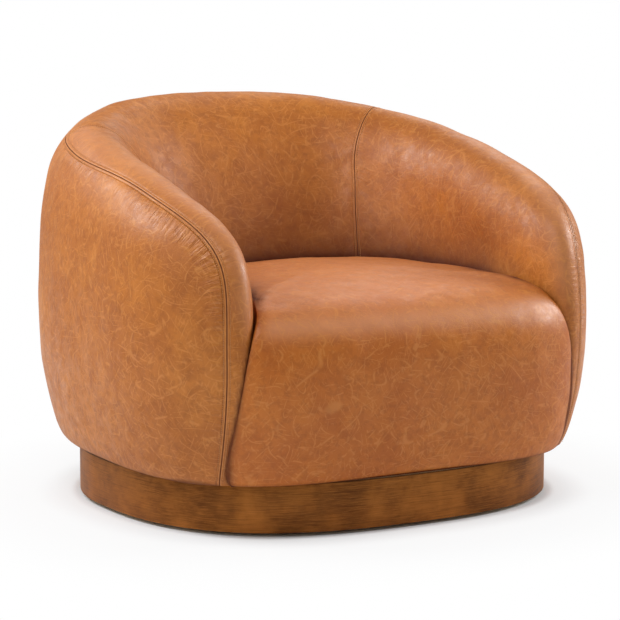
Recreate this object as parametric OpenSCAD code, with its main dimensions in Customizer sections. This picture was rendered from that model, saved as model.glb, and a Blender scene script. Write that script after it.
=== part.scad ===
// Barrel lounge chair in leather: a padded shell that wraps round a crowned seat,
// on a recessed metal-faced plinth that turns on a concealed ball-bearing swivel.
// Millimetres. +Z is up, the front faces -Y, and the floor is z = 0.

/* [Shell] */
// Width over the arms
shell_w = 914; // [860:1:960]
// Reach of the front, from the widest line of the shell
shell_front = 422; // [405:1:440]
// Reach of the back, from the widest line of the shell
shell_back = 521; // [500:1:545]
// Height of the top seam at the middle of the back
back_seam_h = 673; // [650:1:700]
// Height of the top seam at the arm fronts
arm_seam_h = 516; // [500:1:535]
// Height of the widest part of the belly
belly_h = 314; // [295:1:335]
// How far the belly draws in at its lower edge
foot_tuck = 35; // [30:1:40]
// Steady lean of the outer face, at the top seam
shoulder_lean = 23; // [18:1:28]
// Extra rounding of the shoulder just under the top seam
shoulder_round = 39; // [34:1:44]
// Angle from the middle of the back to the arm-front seam
arm_front_angle = 135.4; // [133:0.1:138]

/* [Sitting space] */
// Half width between the arms at the seat
seat_half_w = 271; // [262:1:280]
// Depth of the round back end of the sitting space
bowl_depth = 250; // [240:1:262]
// Distance from the widest line of the shell forward to the bowl's centre
bowl_forward = 83; // [74:1:92]
// Height of the seat's edge
seat_edge_h = 398; // [388:1:410]
// Crown of the seat above its edge
seat_crown = 14; // [8:1:22]
// Outward lean of the back per millimetre of height
back_lean = 0.6; // [0.54:0.01:0.66]

/* [Plinth] */
// Height of the plinth's top
plinth_top = 91; // [86:1:100]
// Gap under the plinth
plinth_gap = 6.4; // [5:0.1:8]
// How far the plinth lies inside the shell's lower edge at the sides
plinth_side_set = 7; // [4:1:14]
// The same at the front
plinth_front_set = 6; // [4:1:14]
// The same at the back
plinth_back_set = 70; // [60:1:80]
// Thickness of the plinth's metal facing
band_t = 1.6; // [1.2:0.1:2.2]

/* [Upholstery] */
// Thickness of the leather
leather_t = 2; // [1.6:0.1:2.4]
// Thickness of the foam under the leather
foam_t = 28; // [24:1:32]

/* [Frame] */
// Thickness of the plywood ribs and boards
ply_t = 18; // [15:1:20]
// Thickness of the bent plywood wall
wall_t = 5; // [4:0.5:6]
// Thickness of the seat rails
rail_t = 22; // [18:1:24]
// Height of the seat rails' top
rail_top = 268; // [262:1:272]

/* [Swivel] */
// Radius of the balls' pitch circle
pitch_r = 140; // [125:1:150]
// Diameter of a swivel ball
ball_d = 8; // [7.6:0.1:8.4]
// Diameter of the floor board
floor_board_d = 560; // [500:5:620]
// Diameter of the pivot bolt
pivot_d = 16; // [12:1:20]

/* [Hidden] */
$fn = 96;

// Clearances
soft_gap = 0.3;        // between soft pieces, and between boards that lie on each other
foam_gap = 0.8;        // between the leather and the foam under it
run_gap = 0.05;        // radial, pivot bolt in its bush and balls in their grooves

// Derived heights
half_w = shell_w / 2;
seat_set = 6;          // the seat's front lies this far inside the shell's outline
shell_y = -(shell_back - (shell_front - seat_set)) / 2;   // widest line of the shell, seen from the origin
deck_top = plinth_top + ply_t;
foam_foot = deck_top + soft_gap;

// Plan of the shell: powers of its front and back outlines
front_power = 3.25;
back_power = 2.4;
tuck_power = 2.1;
round_power = 7.8;
slope_power = 0.8;     // how the top seam falls from the back to the arms
slope_dip = 6;
edge_power = 12.8;     // squareness of the turn from the arm's top to its front
front_sweep = 3.4;     // degrees that the arm-front seam sweeps back at its foot
sweep_h = 300;
deg_mm = 7.6;          // millimetres of outline to a degree

// Plan of the sitting space
bowl_power = 3;
bowl_turn = 105;       // station where the bowl's round end meets its straight sides
bowl_ease = 1.46;
arm_lean = 0.1;
hidden_lean = 0.05;
hidden_back_lean = 0.2;
nose_flare = 60;       // how far the arm's inner face opens at its foot
nose_run = 225;
run_mm = seat_half_w * bowl_ease * 90 / bowl_turn * PI / 180;

// The roll over the top of the shell
roll_depth = 82;
roll_out = 0.4;
roll_in = 0.58;

function oval_r(t, a, bf, bb, pf, pb) =
    let (s = abs(sin(t)), c = cos(t), b = c < 0 ? bf : bb, p = c < 0 ? pf : pb)
    pow(pow(s / a, p) + pow(abs(c) / b, p), -1 / p);

function seam_z(t) =
    let (a = 90 * min(1, abs(t) / arm_front_angle))
    arm_seam_h + (back_seam_h - arm_seam_h) * pow(cos(a), slope_power) - slope_dip * sin(2 * a);

// A point on the outer face: plan angle from the middle of the back, height, depth inwards
function shell_inset(t, z, d) =
    let (up = max(0, (z - belly_h) / (seam_z(t) - belly_h)),
         dn = max(0, (belly_h - z) / (belly_h - plinth_top)))
    shoulder_lean * up * up + shoulder_round * pow(up, round_power)
    + foot_tuck * pow(dn, tuck_power) + d;

function shell_r(t, z, d) =
    let (g = shell_inset(t, z, d))
    oval_r(t, half_w - g, shell_front - g, shell_back - g, front_power, back_power);

function shell_pt(t, z, d) = let (r = shell_r(t, z, d)) [r * sin(t), r * cos(t), z];

// A point on the inner face: station q runs from 0 at the middle of the back
function bowl_pt(q, z, d) =
    let (dz = z - seat_edge_h,
         a = seat_half_w + (dz > 0 ? arm_lean : hidden_lean) * dz + d,
         b = bowl_depth + (dz > 0 ? back_lean : hidden_back_lean) * dz + d,
         phi = 90 * pow(min(1, max(0, q) / bowl_turn), bowl_ease),
         r = oval_r(phi, a, b, b, bowl_power, bowl_power),
         over = max(0, q - bowl_turn) * run_mm,
         low = min(1, max(0, (seat_edge_h - z) / (seat_edge_h - plinth_top))),
         far = min(1, over / nose_run))
    [r * sin(phi) + nose_flare * pow(low, 1.3) * far * far, r * cos(phi) - bowl_forward - over, z];

// The top seam as a curve of [plan angle, height], for a depth d inside the leather
function edge_pt(psi, d) =
    let (c = cos(psi), s = sin(psi),
         n = pow(pow(c, edge_power) + pow(s, edge_power), 1 / edge_power),
         t = (arm_front_angle - d / deg_mm) * c / n,
         z = plinth_top + (seam_z(t) - d - plinth_top) * s / n,
         low = max(0, (sweep_h - z) / (sweep_h - plinth_top)))
    [t - front_sweep * low * low, z];

edge_steps = 120;
function gap2(a, b) = norm([(a[0] - b[0]) * deg_mm, a[1] - b[1]]);
function edge_run(pts) =
    [for (i = 0, s = 0; i < len(pts); s = i < len(pts) - 1 ? s + gap2(pts[i], pts[i + 1]) : s, i = i + 1) s];

// One station across the shell: outer face, roll over the top, inner face
stations = 30;         // from the arm front to the middle of the back
outer_rows = 7;
roll_rows = 9;
inner_rows = 6;
seam_row = outer_rows;
nose_k = 0.3;          // share of the stations that cross the arm's front
foot_turn = 87;        // where the stations come down to the foot: plan angle outside, station inside
foot_ease = 0.66;
foot_spread = 25;      // how far the front stations fan out along the foot
tuck_turn = 101;
tuck_ease = 0.6;
tuck_spread = 10;
step_mm = 2;

function cubic(a, b, c, d, k) =
    pow(1 - k, 3) * a + 3 * pow(1 - k, 2) * k * b + 3 * (1 - k) * k * k * c + k * k * k * d;

function lift(p, z) = [p[0], p[1], max(p[2], z)];

function station(k, t, z, nt, nz, d) =
    let (p0 = shell_pt(t, z, d),
         back0 = shell_pt(t + nt * step_mm / deg_mm, z + nz * step_mm, d),
         t0 = (p0 - back0) / norm(p0 - back0),
         qi = t + nt * roll_depth / deg_mm,
         zi = max(foam_foot, z + nz * roll_depth),
         p3 = bowl_pt(qi, zi, d),
         fore3 = bowl_pt(qi + nt * step_mm / deg_mm, zi + nz * step_mm, d),
         t3 = (fore3 - p3) / norm(fore3 - p3),
         g = norm(p3 - p0),
         fan = max(0, 1 - k / nose_k),
         way = min(1, t / arm_front_angle),
         tb = foot_turn * pow(way, foot_ease) + (foot_spread - d / deg_mm) * fan,
         qb = tuck_turn * pow(way, tuck_ease) + tuck_spread * fan)
    concat(
        [for (i = [0 : outer_rows]) let (q = 1 - pow(1 - i / outer_rows, 1.7))
            shell_pt(tb + (t - tb) * q, plinth_top + (z - plinth_top) * q, d)],
        [for (i = [1 : roll_rows])
            lift(cubic(p0, p0 + t0 * roll_out * g, p3 - t3 * roll_in * g, p3, i / roll_rows), foam_foot)],
        [for (i = [1 : inner_rows]) let (q = i / inner_rows)
            bowl_pt(qi + (qb - qi) * q, zi + (foam_foot - zi) * q, d)]);

function half_wall(d) =
    let (pts = [for (i = [0 : edge_steps]) edge_pt(90 * i / edge_steps, d)],
         run = edge_run(pts),
         full = run[edge_steps],
         tt = [for (i = [0 : edge_steps]) [run[i], pts[i][0]]],
         tz = [for (i = [0 : edge_steps]) [run[i], pts[i][1]]])
    [for (s = [0 : stations])
        let (k = s / stations, l = full * k,
             a = max(0, l - step_mm), b = min(full, l + step_mm),
             dt = (lookup(b, tt) - lookup(a, tt)) * deg_mm, dz = lookup(b, tz) - lookup(a, tz),
             n = norm([dt, dz]),
             nt = s == 0 ? -1 : s == stations ? 0 : -dz / n,
             nz = s == 0 ? 0 : s == stations ? -1 : dt / n)
        station(k, lookup(l, tt), lookup(l, tz), nt, nz, d)];

function flip(p) = [-p[0], p[1], p[2]];
// Whole wall from the left arm front, round the back, to the right arm front
function wall(d) =
    let (g = half_wall(d))
    concat([for (s = [0 : stations]) [for (p = g[s]) flip(p)]],
           [for (s = [stations - 1 : -1 : 0]) g[s]]);

function part_of(g, a, b, r0, r1) = [for (i = [a : b]) [for (j = [r0 : r1]) g[i][j]]];

// Closed solid between two grids of points of the same size. wrap joins the last column to the
// first; eye closes the hole inside the last row with a fan on each face
module sheet(face, back, wrap = false, eye = undef) {
    n = len(face);
    m = len(face[0]);
    h = n * m;
    e = (n - 1) * m;
    last = wrap ? n - 1 : n - 2;
    over = is_undef(eye) ? 0 : 1;
    pts = concat([for (r = face) each r], [for (r = back) each r], over > 0 ? eye : []);
    skins = [for (i = [0 : last], j = [0 : m - 2])
        let (k = (i + 1) % n, a = i * m + j, b = k * m + j,
             long = norm(pts[a] - pts[b + 1]) > norm(pts[a + 1] - pts[b]) + 0.01)
        each long ? [[a + 1, b + 1, b, a], [h + a + 1, h + a, h + b, h + b + 1]]
                  : [[a, a + 1, b + 1, b], [h + a, h + b, h + b + 1, h + a + 1]]];
    foot_edge = [for (i = [0 : last]) let (k = (i + 1) % n) [i * m, k * m, h + k * m, h + i * m]];
    head_edge = over > 0 ? [] : [for (i = [0 : last]) let (k = (i + 1) % n)
        [i * m + m - 1, h + i * m + m - 1, h + k * m + m - 1, k * m + m - 1]];
    side_edges = wrap ? [] : [for (j = [0 : m - 2]) each
        [[j, h + j, h + j + 1, j + 1], [e + j, e + j + 1, h + e + j + 1, h + e + j]]];
    fans = over > 0 ? [for (i = [0 : last]) let (k = (i + 1) % n) each [
        [i * m + m - 1, 2 * h, k * m + m - 1], [h + i * m + m - 1, h + k * m + m - 1, 2 * h + 1]]] : [];
    polyhedron(pts, concat(fans,
        [for (f = concat(skins, foot_edge, head_edge, side_edges)) each [[f[0], f[1], f[2]], [f[0], f[2], f[3]]]]));
}

// Places where the shell's leather is seamed, counted in stations
cut_arm = round(stations * 0.73);    // inside the back
cut_side = round(stations * 0.8);    // upright seams of the outer leather
mid = stations;
ends = 2 * stations;
all_rows = outer_rows + roll_rows + inner_rows;

module panel(a, b, r0, r1) {
    translate([0, shell_y, 0])
        sheet(part_of(wall(leather_t), a, b, r0, r1), part_of(wall(0), a, b, r0, r1));
}

function raised(g, z) = [for (r = g) [for (p = r) lift(p, z)]];
module foam(a, b) {
    d = leather_t + foam_gap;
    translate([0, shell_y, 0])
        sheet(raised(part_of(wall(d + foam_t), a, b, 0, all_rows), foam_foot),
            raised(part_of(wall(d), a, b, 0, all_rows), foam_foot));
}

// The seat: its plan at a height z, m millimetres behind the front face, for a depth d inside the leather
seat_gap = 3;          // between the seat and the shell's inner face
nose_gap = 6.5;          // between the seat and the arms' rolled fronts
front_roll = 104;      // depth of the rounded front edge
front_roll_h = 86;
side_roll = 16;        // rounding at the sides and back
side_roll_h = 24;
skirt_h = 286;         // the cover's lower edge at the sides and back
slab_foot = 290;       // underside of the seat foam
front_cols = 7;
nose_cols = 5;
bowl_cols = 9;
level_rows = 3;
turn_rows = 5;
crown_rows = 4;
nose_reach = 190;      // how far back the seat's rounded corner follows the arm's rolled front
nose_end = 0.96;
corner_power = 6;
foam_side_gap = 1.2;   // more room for the seat foam at its sides
crown_reach = 0.86;
seat_mid = -80;

function low_k(z) = pow(max(0, (min(z, seat_edge_h) - plinth_top) / (seat_edge_h - plinth_top)), 3);
function edge_t(z) =
    let (w = (z - plinth_top) / (arm_seam_h - plinth_top), low = max(0, (sweep_h - z) / (sweep_h - plinth_top)))
    arm_front_angle * pow(1 - pow(w, edge_power), 1 / edge_power) - front_sweep * low * low;

// Level section of the arm's rolled front, moved towards the seat by g
function nose_pt(z, k, g) =
    let (t = edge_t(z) + g / deg_mm,
         p0 = shell_pt(t, z, 0),
         back0 = shell_pt(t - step_mm / deg_mm, z, 0),
         t0 = (p0 - back0) / norm(p0 - back0),
         q = t - roll_depth / deg_mm,
         p3 = bowl_pt(q, z, -g),
         fore3 = bowl_pt(q - step_mm / deg_mm, z, -g),
         t3 = (fore3 - p3) / norm(fore3 - p3),
         l = norm(p3 - p0))
    cubic(p0, p0 + t0 * roll_out * l, p3 - t3 * roll_in * l, p3, k);

// How far a point lies inside the shell's outline
function inset_at(p) = shell_r(atan2(p[0], p[1]), p[2], 0) - norm([p[0], p[1]]);

// Share of the arm's rolled front at which the seat's face meets it
function meet_k(z, g, d) =
    max(0.05 + 0.27 * low_k(z), lookup(seat_set + d, [for (i = [0 : 16]) let (u = i / 40) [inset_at(nose_pt(z, u, g)), u]]));

// side draws the point in from the arm or the back
function seat_out(j, z, m, side, d) =
    let (g = nose_gap + d, k0 = meet_k(z, g, d), k = k0 + (1 - k0) * min(0.9, m / nose_reach))
    j <= front_cols
    ? let (c = nose_pt(z, k, g), u = j / front_cols, f = pow(u, corner_power),
           tc = atan2(c[0], c[1] - m),
           p = shell_pt(180 + (tc - 180) * u, z, seat_set + d), q = shell_pt(tc, z, seat_set + d))
        [p[0] + (c[0] - q[0]) * f, p[1] + m + (c[1] - m - q[1]) * f, z]
    : j <= front_cols + nose_cols
    ? nose_pt(z, k + (nose_end - k) * (j - front_cols) / nose_cols, g + side)
    : let (q = (edge_t(z) - roll_depth / deg_mm) * (1 - (j - front_cols - nose_cols) / bowl_cols))
        bowl_pt(q, z, -seat_gap - d - side);

function front_share(j) = j <= front_cols ? 1 : max(0, 1 - (j - front_cols) / (nose_cols - 1));

function seat_column(j, d, in = 0) =
    let (w = front_share(j),
         top = seat_edge_h - d,
         roll_h = side_roll_h + (front_roll_h - side_roll_h) * w - d,
         start = top - roll_h,
         low = j < front_cols ? plinth_top : j <= front_cols + 1 ? foam_foot : skirt_h,
         pts = concat(
             [for (i = [0 : level_rows - 1]) seat_out(j, low + (start - low) * i / level_rows, 0, in, d)],
             [for (i = [0 : turn_rows]) let (a = 90 * i / turn_rows)
                 seat_out(j, start + roll_h * sin(a), front_roll * (1 - cos(a)), in + side_roll * (1 - cos(a)), d)]),
         rim = pts[level_rows + turn_rows])
    concat(pts, [for (i = [1 : crown_rows]) let (f = crown_reach * i / crown_rows)
        [rim[0] * (1 - f), rim[1] + (seat_mid - rim[1]) * f, rim[2] + seat_crown * sin(90 * f / crown_reach)]]);

last_col = front_cols + nose_cols + bowl_cols;
function seat_grid(d, in = 0) =
    let (half = [for (j = [0 : last_col]) seat_column(j, d, in)])
    concat(half, [for (j = [last_col - 1 : -1 : 1]) [for (p = half[j]) flip(p)]]);

// A crowned solid: rings of points round the seat, closed flat below and by a fan on top
module dome(rings) {
    n = len(rings);
    m = len(rings[0]);
    pts = concat([for (r = rings) each r], [[0, seat_mid, rings[0][m - 1][2]]]);
    sides = [for (i = [0 : n - 1], j = [0 : m - 2]) let (k = (i + 1) % n)
        each [[i * m + j, i * m + j + 1, k * m + j + 1], [i * m + j, k * m + j + 1, k * m + j]]];
    lid = [for (i = [0 : n - 1]) [i * m + m - 1, n * m, ((i + 1) % n) * m + m - 1]];
    polyhedron(pts, concat(sides, lid, [[for (i = [0 : n - 1]) i * m]]));
}

// Plan outlines as flat shapes
function ring_angles(n) = [for (i = [0 : n - 1]) 360 * i / n];
module oval(a, bf, bb, pf, pb, n = 180) {
    polygon([for (t = ring_angles(n)) let (r = oval_r(t, a, bf, bb, pf, pb)) [r * sin(t), r * cos(t)]]);
}

module shell_oval(d, n = 144) {
    g = foot_tuck + d;
    translate([0, shell_y]) oval(half_w - g, shell_front - g, shell_back - g, front_power, back_power, n);
}

plinth_shift = 30;     // widest line of the plinth behind the shell's
plinth_half_w = half_w - foot_tuck - plinth_side_set;
plinth_front = shell_front - foot_tuck - plinth_front_set + plinth_shift;
plinth_back = shell_back - foot_tuck - plinth_back_set - plinth_shift;
plinth_front_power = 2.66;
plinth_back_power = 1.88;
module plinth_oval(d, n = 180) {
    translate([0, shell_y + plinth_shift])
        oval(plinth_half_w - d, plinth_front - d, plinth_back - d, plinth_front_power, plinth_back_power, n);
}
swivel_y = shell_y + plinth_shift + (plinth_back - plinth_front) / 2;

tan_leather = [0.71, 0.44, 0.23];
foam_grey = [0.86, 0.84, 0.76];
birch = [0.80, 0.66, 0.46];
pine = [0.84, 0.71, 0.50];
bronze = [0.46, 0.28, 0.14];
steel = [0.62, 0.63, 0.65];
zinc = [0.75, 0.76, 0.78];
black = [0.12, 0.12, 0.13];
felt = [0.35, 0.33, 0.31];

module outer_panel_left() color(tan_leather) panel(0, cut_side, 0, seam_row);
module outer_panel_right() color(tan_leather) panel(ends - cut_side, ends, 0, seam_row);
module outer_back_panel() color(tan_leather) panel(cut_side, ends - cut_side, 0, seam_row);
module arm_panel_left() color(tan_leather) panel(0, cut_arm, seam_row, all_rows);
module arm_panel_right() color(tan_leather) panel(ends - cut_arm, ends, seam_row, all_rows);
module inside_back_panel() color(tan_leather) panel(cut_arm, ends - cut_arm, seam_row, all_rows);
module arm_foam_left() color(foam_grey) foam(0, cut_arm);
module arm_foam_right() color(foam_grey) foam(ends - cut_arm, ends);
module back_foam() color(foam_grey) foam(cut_arm, ends - cut_arm);

module seat_cover() color(tan_leather) translate([0, shell_y, 0]) {
    crown_z = seat_edge_h + seat_crown;
    sheet(seat_grid(0), seat_grid(leather_t), wrap = true,
        eye = [[0, seat_mid, crown_z], [0, seat_mid, crown_z - leather_t]]);
}

// A column's point at a given height
function at_z(col, z) = [lookup(z, [for (p = col) [p[2], p[0]]]), lookup(z, [for (p = col) [p[2], p[1]]]), z];

module seat_foam() color(foam_grey) translate([0, shell_y, 0])
    let (g = seat_grid(leather_t + 2 * foam_gap, foam_side_gap), n = len(g))
    dome([for (j = [0 : n - 1]) if (j != front_cols && j != n - front_cols)
        concat([at_z(g[j], slab_foot)], [for (i = [level_rows : len(g[j]) - 1]) g[j][i]])]);

// Foam apron behind the seat's front
apron_t = 100;
rail_front = apron_t - shell_front;
apron_top = slab_foot - soft_gap;
apron_back = 0.97;     // its back is this much narrower
module front_foam() color(foam_grey) translate([0, shell_y, 0]) {
    half = [for (j = [0 : front_cols - 1]) seat_column(j, leather_t + foam_gap)];
    levels = concat([foam_foot], [for (i = [1 : level_rows - 1]) half[0][i][2]], [apron_top]);
    right = [for (c = half) [for (z = levels) at_z(c, z)]];
    front = concat([for (j = [front_cols - 1 : -1 : 1]) [for (p = right[j]) flip(p)]], right);
    sheet(front, [for (c = front) [for (p = c) [p[0] * apron_back, rail_front - soft_gap, p[2]]]]);
}

// Straight lines across the plan, for the boards that stand in it
function oval_x(y, a, b, p) = a * pow(1 - pow(min(0.999, abs(y) / b), p), 1 / p);
function bowl_x(y, z, d) =
    let (dz = z - seat_edge_h,
         a = seat_half_w + (dz > 0 ? arm_lean : hidden_lean) * dz + d,
         b = bowl_depth + (dz > 0 ? back_lean : hidden_back_lean) * dz + d)
    y > -bowl_forward ? oval_x(y + bowl_forward, a, b, bowl_power) : a;
function bowl_y(x, z, d) =
    let (dz = z - seat_edge_h,
         a = seat_half_w + (dz > 0 ? arm_lean : hidden_lean) * dz + d,
         b = bowl_depth + (dz > 0 ? back_lean : hidden_back_lean) * dz + d)
    oval_x(x, b, a, bowl_power) - bowl_forward;

deck_inset = seat_set + leather_t + 3;
module deck_board() color(birch) difference() {
    translate([0, 0, plinth_top]) linear_extrude(ply_t) shell_oval(deck_inset);
    at_deck_screws() translate([0, 0, plinth_top - 1]) cylinder(r = screw_r + run_gap, h = ply_t + 2);
    at_deck_screws() translate([0, 0, deck_top - head_h]) cylinder(r1 = screw_r + run_gap, r2 = head_r + run_gap, h = head_h);
}

// Wood screws
screw_r = 2;
head_r = 4;
head_h = 2.4;
module wood_screw(l) {
    translate([0, 0, -l]) cylinder(r = screw_r, h = l - head_h);
    translate([0, 0, -head_h]) cylinder(r1 = screw_r, r2 = head_r, h = head_h);
}

core_in = band_t + run_gap;
deck_screw_l = 40;
module at_deck_screws() for (t = [20 : 40 : 340]) {
    d = core_in + ply_t / 2;
    r = oval_r(t, plinth_half_w - d, plinth_front - d, plinth_back - d, plinth_front_power, plinth_back_power);
    translate([r * sin(t), shell_y + plinth_shift + r * cos(t), 0]) children();
}
module deck_screws() color(zinc) at_deck_screws() translate([0, 0, deck_top]) wood_screw(deck_screw_l);

// Seat frame: a straight front rail and a hoop bent round the sides and back
hoop_in = 5;           // inside the shell's inner face
hoop_a = seat_half_w + hidden_lean * (deck_top - seat_edge_h) - hoop_in;
hoop_b = bowl_depth + hidden_back_lean * (deck_top - seat_edge_h) - hoop_in;
hoop_steps = 30;
module hoop_plan(d, front) {
    a = hoop_a - d;
    b = hoop_b - d;
    polygon(concat([[a, front]],
        [for (i = [0 : hoop_steps]) let (t = 90 - 180 * i / hoop_steps, r = oval_r(t, a, b, b, bowl_power, bowl_power))
            [r * sin(t), r * cos(t) - bowl_forward]],
        [[-a, front]]));
}
module seat_hoop() color(pine) translate([0, shell_y, deck_top]) linear_extrude(rail_top - deck_top) difference() {
    hoop_plan(0, rail_front + rail_t);
    hoop_plan(rail_t, rail_front);
}

rail_half = hoop_a;
module front_rail() color(pine) translate([-rail_half, shell_y + rail_front, deck_top])
    cube([2 * rail_half, rail_t, rail_top - deck_top]);

block_w = 46;
module corner_blocks() color(pine) for (s = [-1, 1])
    translate([0, shell_y + rail_front + rail_t, deck_top]) linear_extrude(rail_top - deck_top - ply_t)
        polygon([[s * (rail_half - rail_t), 0], [s * (rail_half - rail_t - block_w), 0],
            [s * (rail_half - rail_t), block_w]]);

// Zigzag springs from the front rail to the back of the hoop
springs = 5;
spring_pitch = 78;
wave_w = 23;
wave_l = 46;
wire_d = 3.4;
wire_steps = 12;
clip_l = 14;
function spring_x(i) = (i - (springs - 1) / 2) * spring_pitch;
function hoop_y(x) = oval_x(x, hoop_b - rail_t, hoop_a - rail_t, bowl_power) - bowl_forward;
function wave(l, side) =
    let (waves = round(l / wave_l), n = waves * wire_steps, w = wire_d / 2 * side)
    [for (i = [0 : n]) let (u = i / n, y = l * u, a = 360 * waves * u,
        c = wave_w * sin(a) * min(1, 6 * u, 6 * (1 - u)),
        slope = wave_w * cos(a) * 2 * PI * waves / l * min(1, 6 * u, 6 * (1 - u)), k = norm([1, slope]))
        [c + w / k * 1, y - w * slope / k]];
function back_order(v) = [for (i = [len(v) - 1 : -1 : 0]) v[i]];
module spring(x) {
    start = rail_front + rail_t / 2;
    l = hoop_y(x) + rail_t / 2 - start;
    translate([x, start, 0]) linear_extrude(wire_d)
        polygon(concat(wave(l, 1), back_order(wave(l, -1))));
}
module seat_springs() color(steel) translate([0, shell_y, rail_top + soft_gap]) for (i = [0 : springs - 1]) spring(spring_x(i));

// Bent clips that hold the spring ends down on the rails
clip_w = rail_t - 4;
clip_t = 1.4;
module clip() difference() {
    translate([-clip_l / 2, -clip_w / 2, 0]) cube([clip_l, clip_w, wire_d + 2 * soft_gap + clip_t]);
    translate([-clip_l / 2 - 1, clip_t - clip_w / 2, -1]) cube([clip_l + 2, clip_w, wire_d + 2 * soft_gap + 1]);
}
module spring_clips() color(zinc) translate([0, shell_y, rail_top]) for (i = [0 : springs - 1])
    translate([spring_x(i), 0, 0]) {
        translate([0, rail_front + rail_t / 2, 0]) clip();
        translate([0, hoop_y(spring_x(i)) + rail_t / 2, 0]) mirror([0, 1, 0]) clip();
    }

// Two tie wires across the springs
tie_d = 2.6;
module spring_ties() color(steel) for (k = [0.36, 0.68]) {
    y = rail_front + k * (bowl_depth - bowl_forward - rail_front);
    half = spring_x(springs - 1) + wave_w;
    translate([-half, shell_y + y, rail_top + 2 * soft_gap + wire_d + tie_d / 2]) rotate([0, 90, 0]) cylinder(d = tie_d, h = 2 * half);
}

pad_foot = rail_top + wire_d + tie_d + 3 * soft_gap;
module spring_pad() color(felt) translate([0, shell_y, pad_foot]) linear_extrude(slab_foot - soft_gap - pad_foot)
    hoop_plan(0, rail_front);

// Plywood ribs in the shell, standing on the deck, notched for the curved rail
wall_in = leather_t + foam_gap + foam_t + 3;   // bent wall behind the outer foam
rail_in = wall_in + wall_t + soft_gap;
rib_in = leather_t + foam_gap + foam_t + 5;    // ribs behind the inner foam
rib_flare = 12;
rib_drop = 92;         // below the top seam
rib_shoulder = 34;
rib_hole_r = 40;
rail_z = 330;
slot_w = 40;
back_rib_pitch = 165;
arm_rib_front = -175;
arm_rib_rear = -40;
function rib_line(zt, inner, outer, slot) =
    let (zs = zt - rib_shoulder)
    concat([for (z = [deck_top, (deck_top + zs) / 2, seat_edge_h, zs]) [inner(z), z]],
        [[inner(zs) + rib_shoulder / 2, zt], [outer - rib_shoulder / 2, zt], [outer, zs],
         [outer, rail_z + ply_t + soft_gap], [slot, rail_z + ply_t + soft_gap],
         [slot, rail_z - soft_gap], [outer, rail_z - soft_gap], [outer, deck_top]]);
function back_line(x, d) = oval_x(x, shell_back - foot_tuck - d, half_w - foot_tuck - d, back_power);
function side_line(y, d) =
    oval_x(y, half_w - foot_tuck - d, (y < 0 ? shell_front : shell_back) - foot_tuck - d, y < 0 ? front_power : back_power);

module back_rib(x) {
    far = abs(x) + ply_t / 2;
    near = max(0, abs(x) - ply_t / 2);
    outer = back_line(far, rail_in);
    zt = seam_z(atan2(abs(x), outer)) - rib_drop;
    translate([x - ply_t / 2, 0, 0]) rotate([90, 0, 90]) linear_extrude(ply_t) difference() {
        polygon(rib_line(zt, function (z) bowl_y(near, z, rib_in), outer, back_line(far, rail_in + slot_w)));
        translate([(bowl_y(near, deck_top, rib_in) + outer) / 2, (deck_top + rail_z) / 2]) circle(r = rib_hole_r);
    }
}
module arm_rib(y) {
    far = y - ply_t / 2;
    outer = side_line(far, rail_in);
    zt = seam_z(atan2(outer, y)) - rib_drop;
    translate([0, y + ply_t / 2, 0]) rotate([90, 0, 0]) linear_extrude(ply_t)
        polygon(rib_line(zt, function (z) bowl_x(y, z, rib_in) + rib_flare, outer, side_line(far, rail_in + slot_w)));
}
module back_ribs() color(birch) translate([0, shell_y, 0]) for (x = [-back_rib_pitch, 0, back_rib_pitch]) back_rib(x);
module arm_ribs_right() color(birch) translate([0, shell_y, 0]) for (y = [arm_rib_front, arm_rib_rear]) arm_rib(y);
module arm_ribs_left() mirror([1, 0, 0]) arm_ribs_right();

// Bent plywood wall outside the ribs, and the curved rail let into them
wall_top = 380;
wall_front = -215;
module shell_wall() color(birch) translate([0, 0, deck_top]) linear_extrude(wall_top - deck_top) difference() {
    shell_oval(wall_in);
    shell_oval(wall_in + wall_t);
    translate([-shell_w / 2, shell_y + wall_front - shell_w]) square([shell_w, shell_w]);
}
module shell_rail() color(birch) translate([0, 0, rail_z]) linear_extrude(ply_t) difference() {
    shell_oval(rail_in);
    shell_oval(rail_in + slot_w - soft_gap);
    translate([-shell_w / 2, shell_y + wall_front - shell_w]) square([shell_w, shell_w]);
}

// Plinth
module plinth_ring(d0, d1, z0, z1) translate([0, 0, z0]) linear_extrude(z1 - z0) difference() {
    plinth_oval(d0);
    plinth_oval(d1);
}
module plinth_band() color(bronze) plinth_ring(0, band_t, plinth_gap, plinth_top - soft_gap);
module plinth_core() color(birch) difference() {
    plinth_ring(core_in, core_in + ply_t, plinth_gap + 2, plinth_top);
    at_deck_screws() translate([0, 0, deck_top - deck_screw_l - 1]) cylinder(r = screw_r + run_gap, h = deck_screw_l);
}

beam_h = 20;
beam_w = 60;
beam_pitch = 180;
beam_z = plinth_top - beam_h;
module plinth_beams() color(pine) difference() {
    translate([0, 0, beam_z]) linear_extrude(beam_h) intersection() {
        plinth_oval(core_in + ply_t + soft_gap);
        for (s = [-1, 1]) translate([-shell_w / 2, swivel_y + s * beam_pitch / 2 - beam_w / 2]) square([shell_w, beam_w]);
    }
    at_riser_bolts() translate([0, 0, beam_z - 1]) cylinder(r = bolt_r + run_gap, h = beam_h + 2);
}

// Swivel: two grooved races with caged balls between them, round a pivot bolt
glide_h = 8;
floor_board_z = glide_h;
lower_z = floor_board_z + ply_t;
race_h = 7.6;
race_gap = 2.8;
race_half = 14;
upper_z = lower_z + race_h + race_gap;
ball_z = lower_z + race_h + race_gap / 2;
riser_z = upper_z + race_h;
riser_d = 340;
balls = 24;
bolt_out = 60;          // riser bolts, from the middle to each side
race_screw_r = pitch_r + 9.2;
race_screws = 6;
upper_turn = 180 / race_screws;   // upper screws stand between the lower ones

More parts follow.
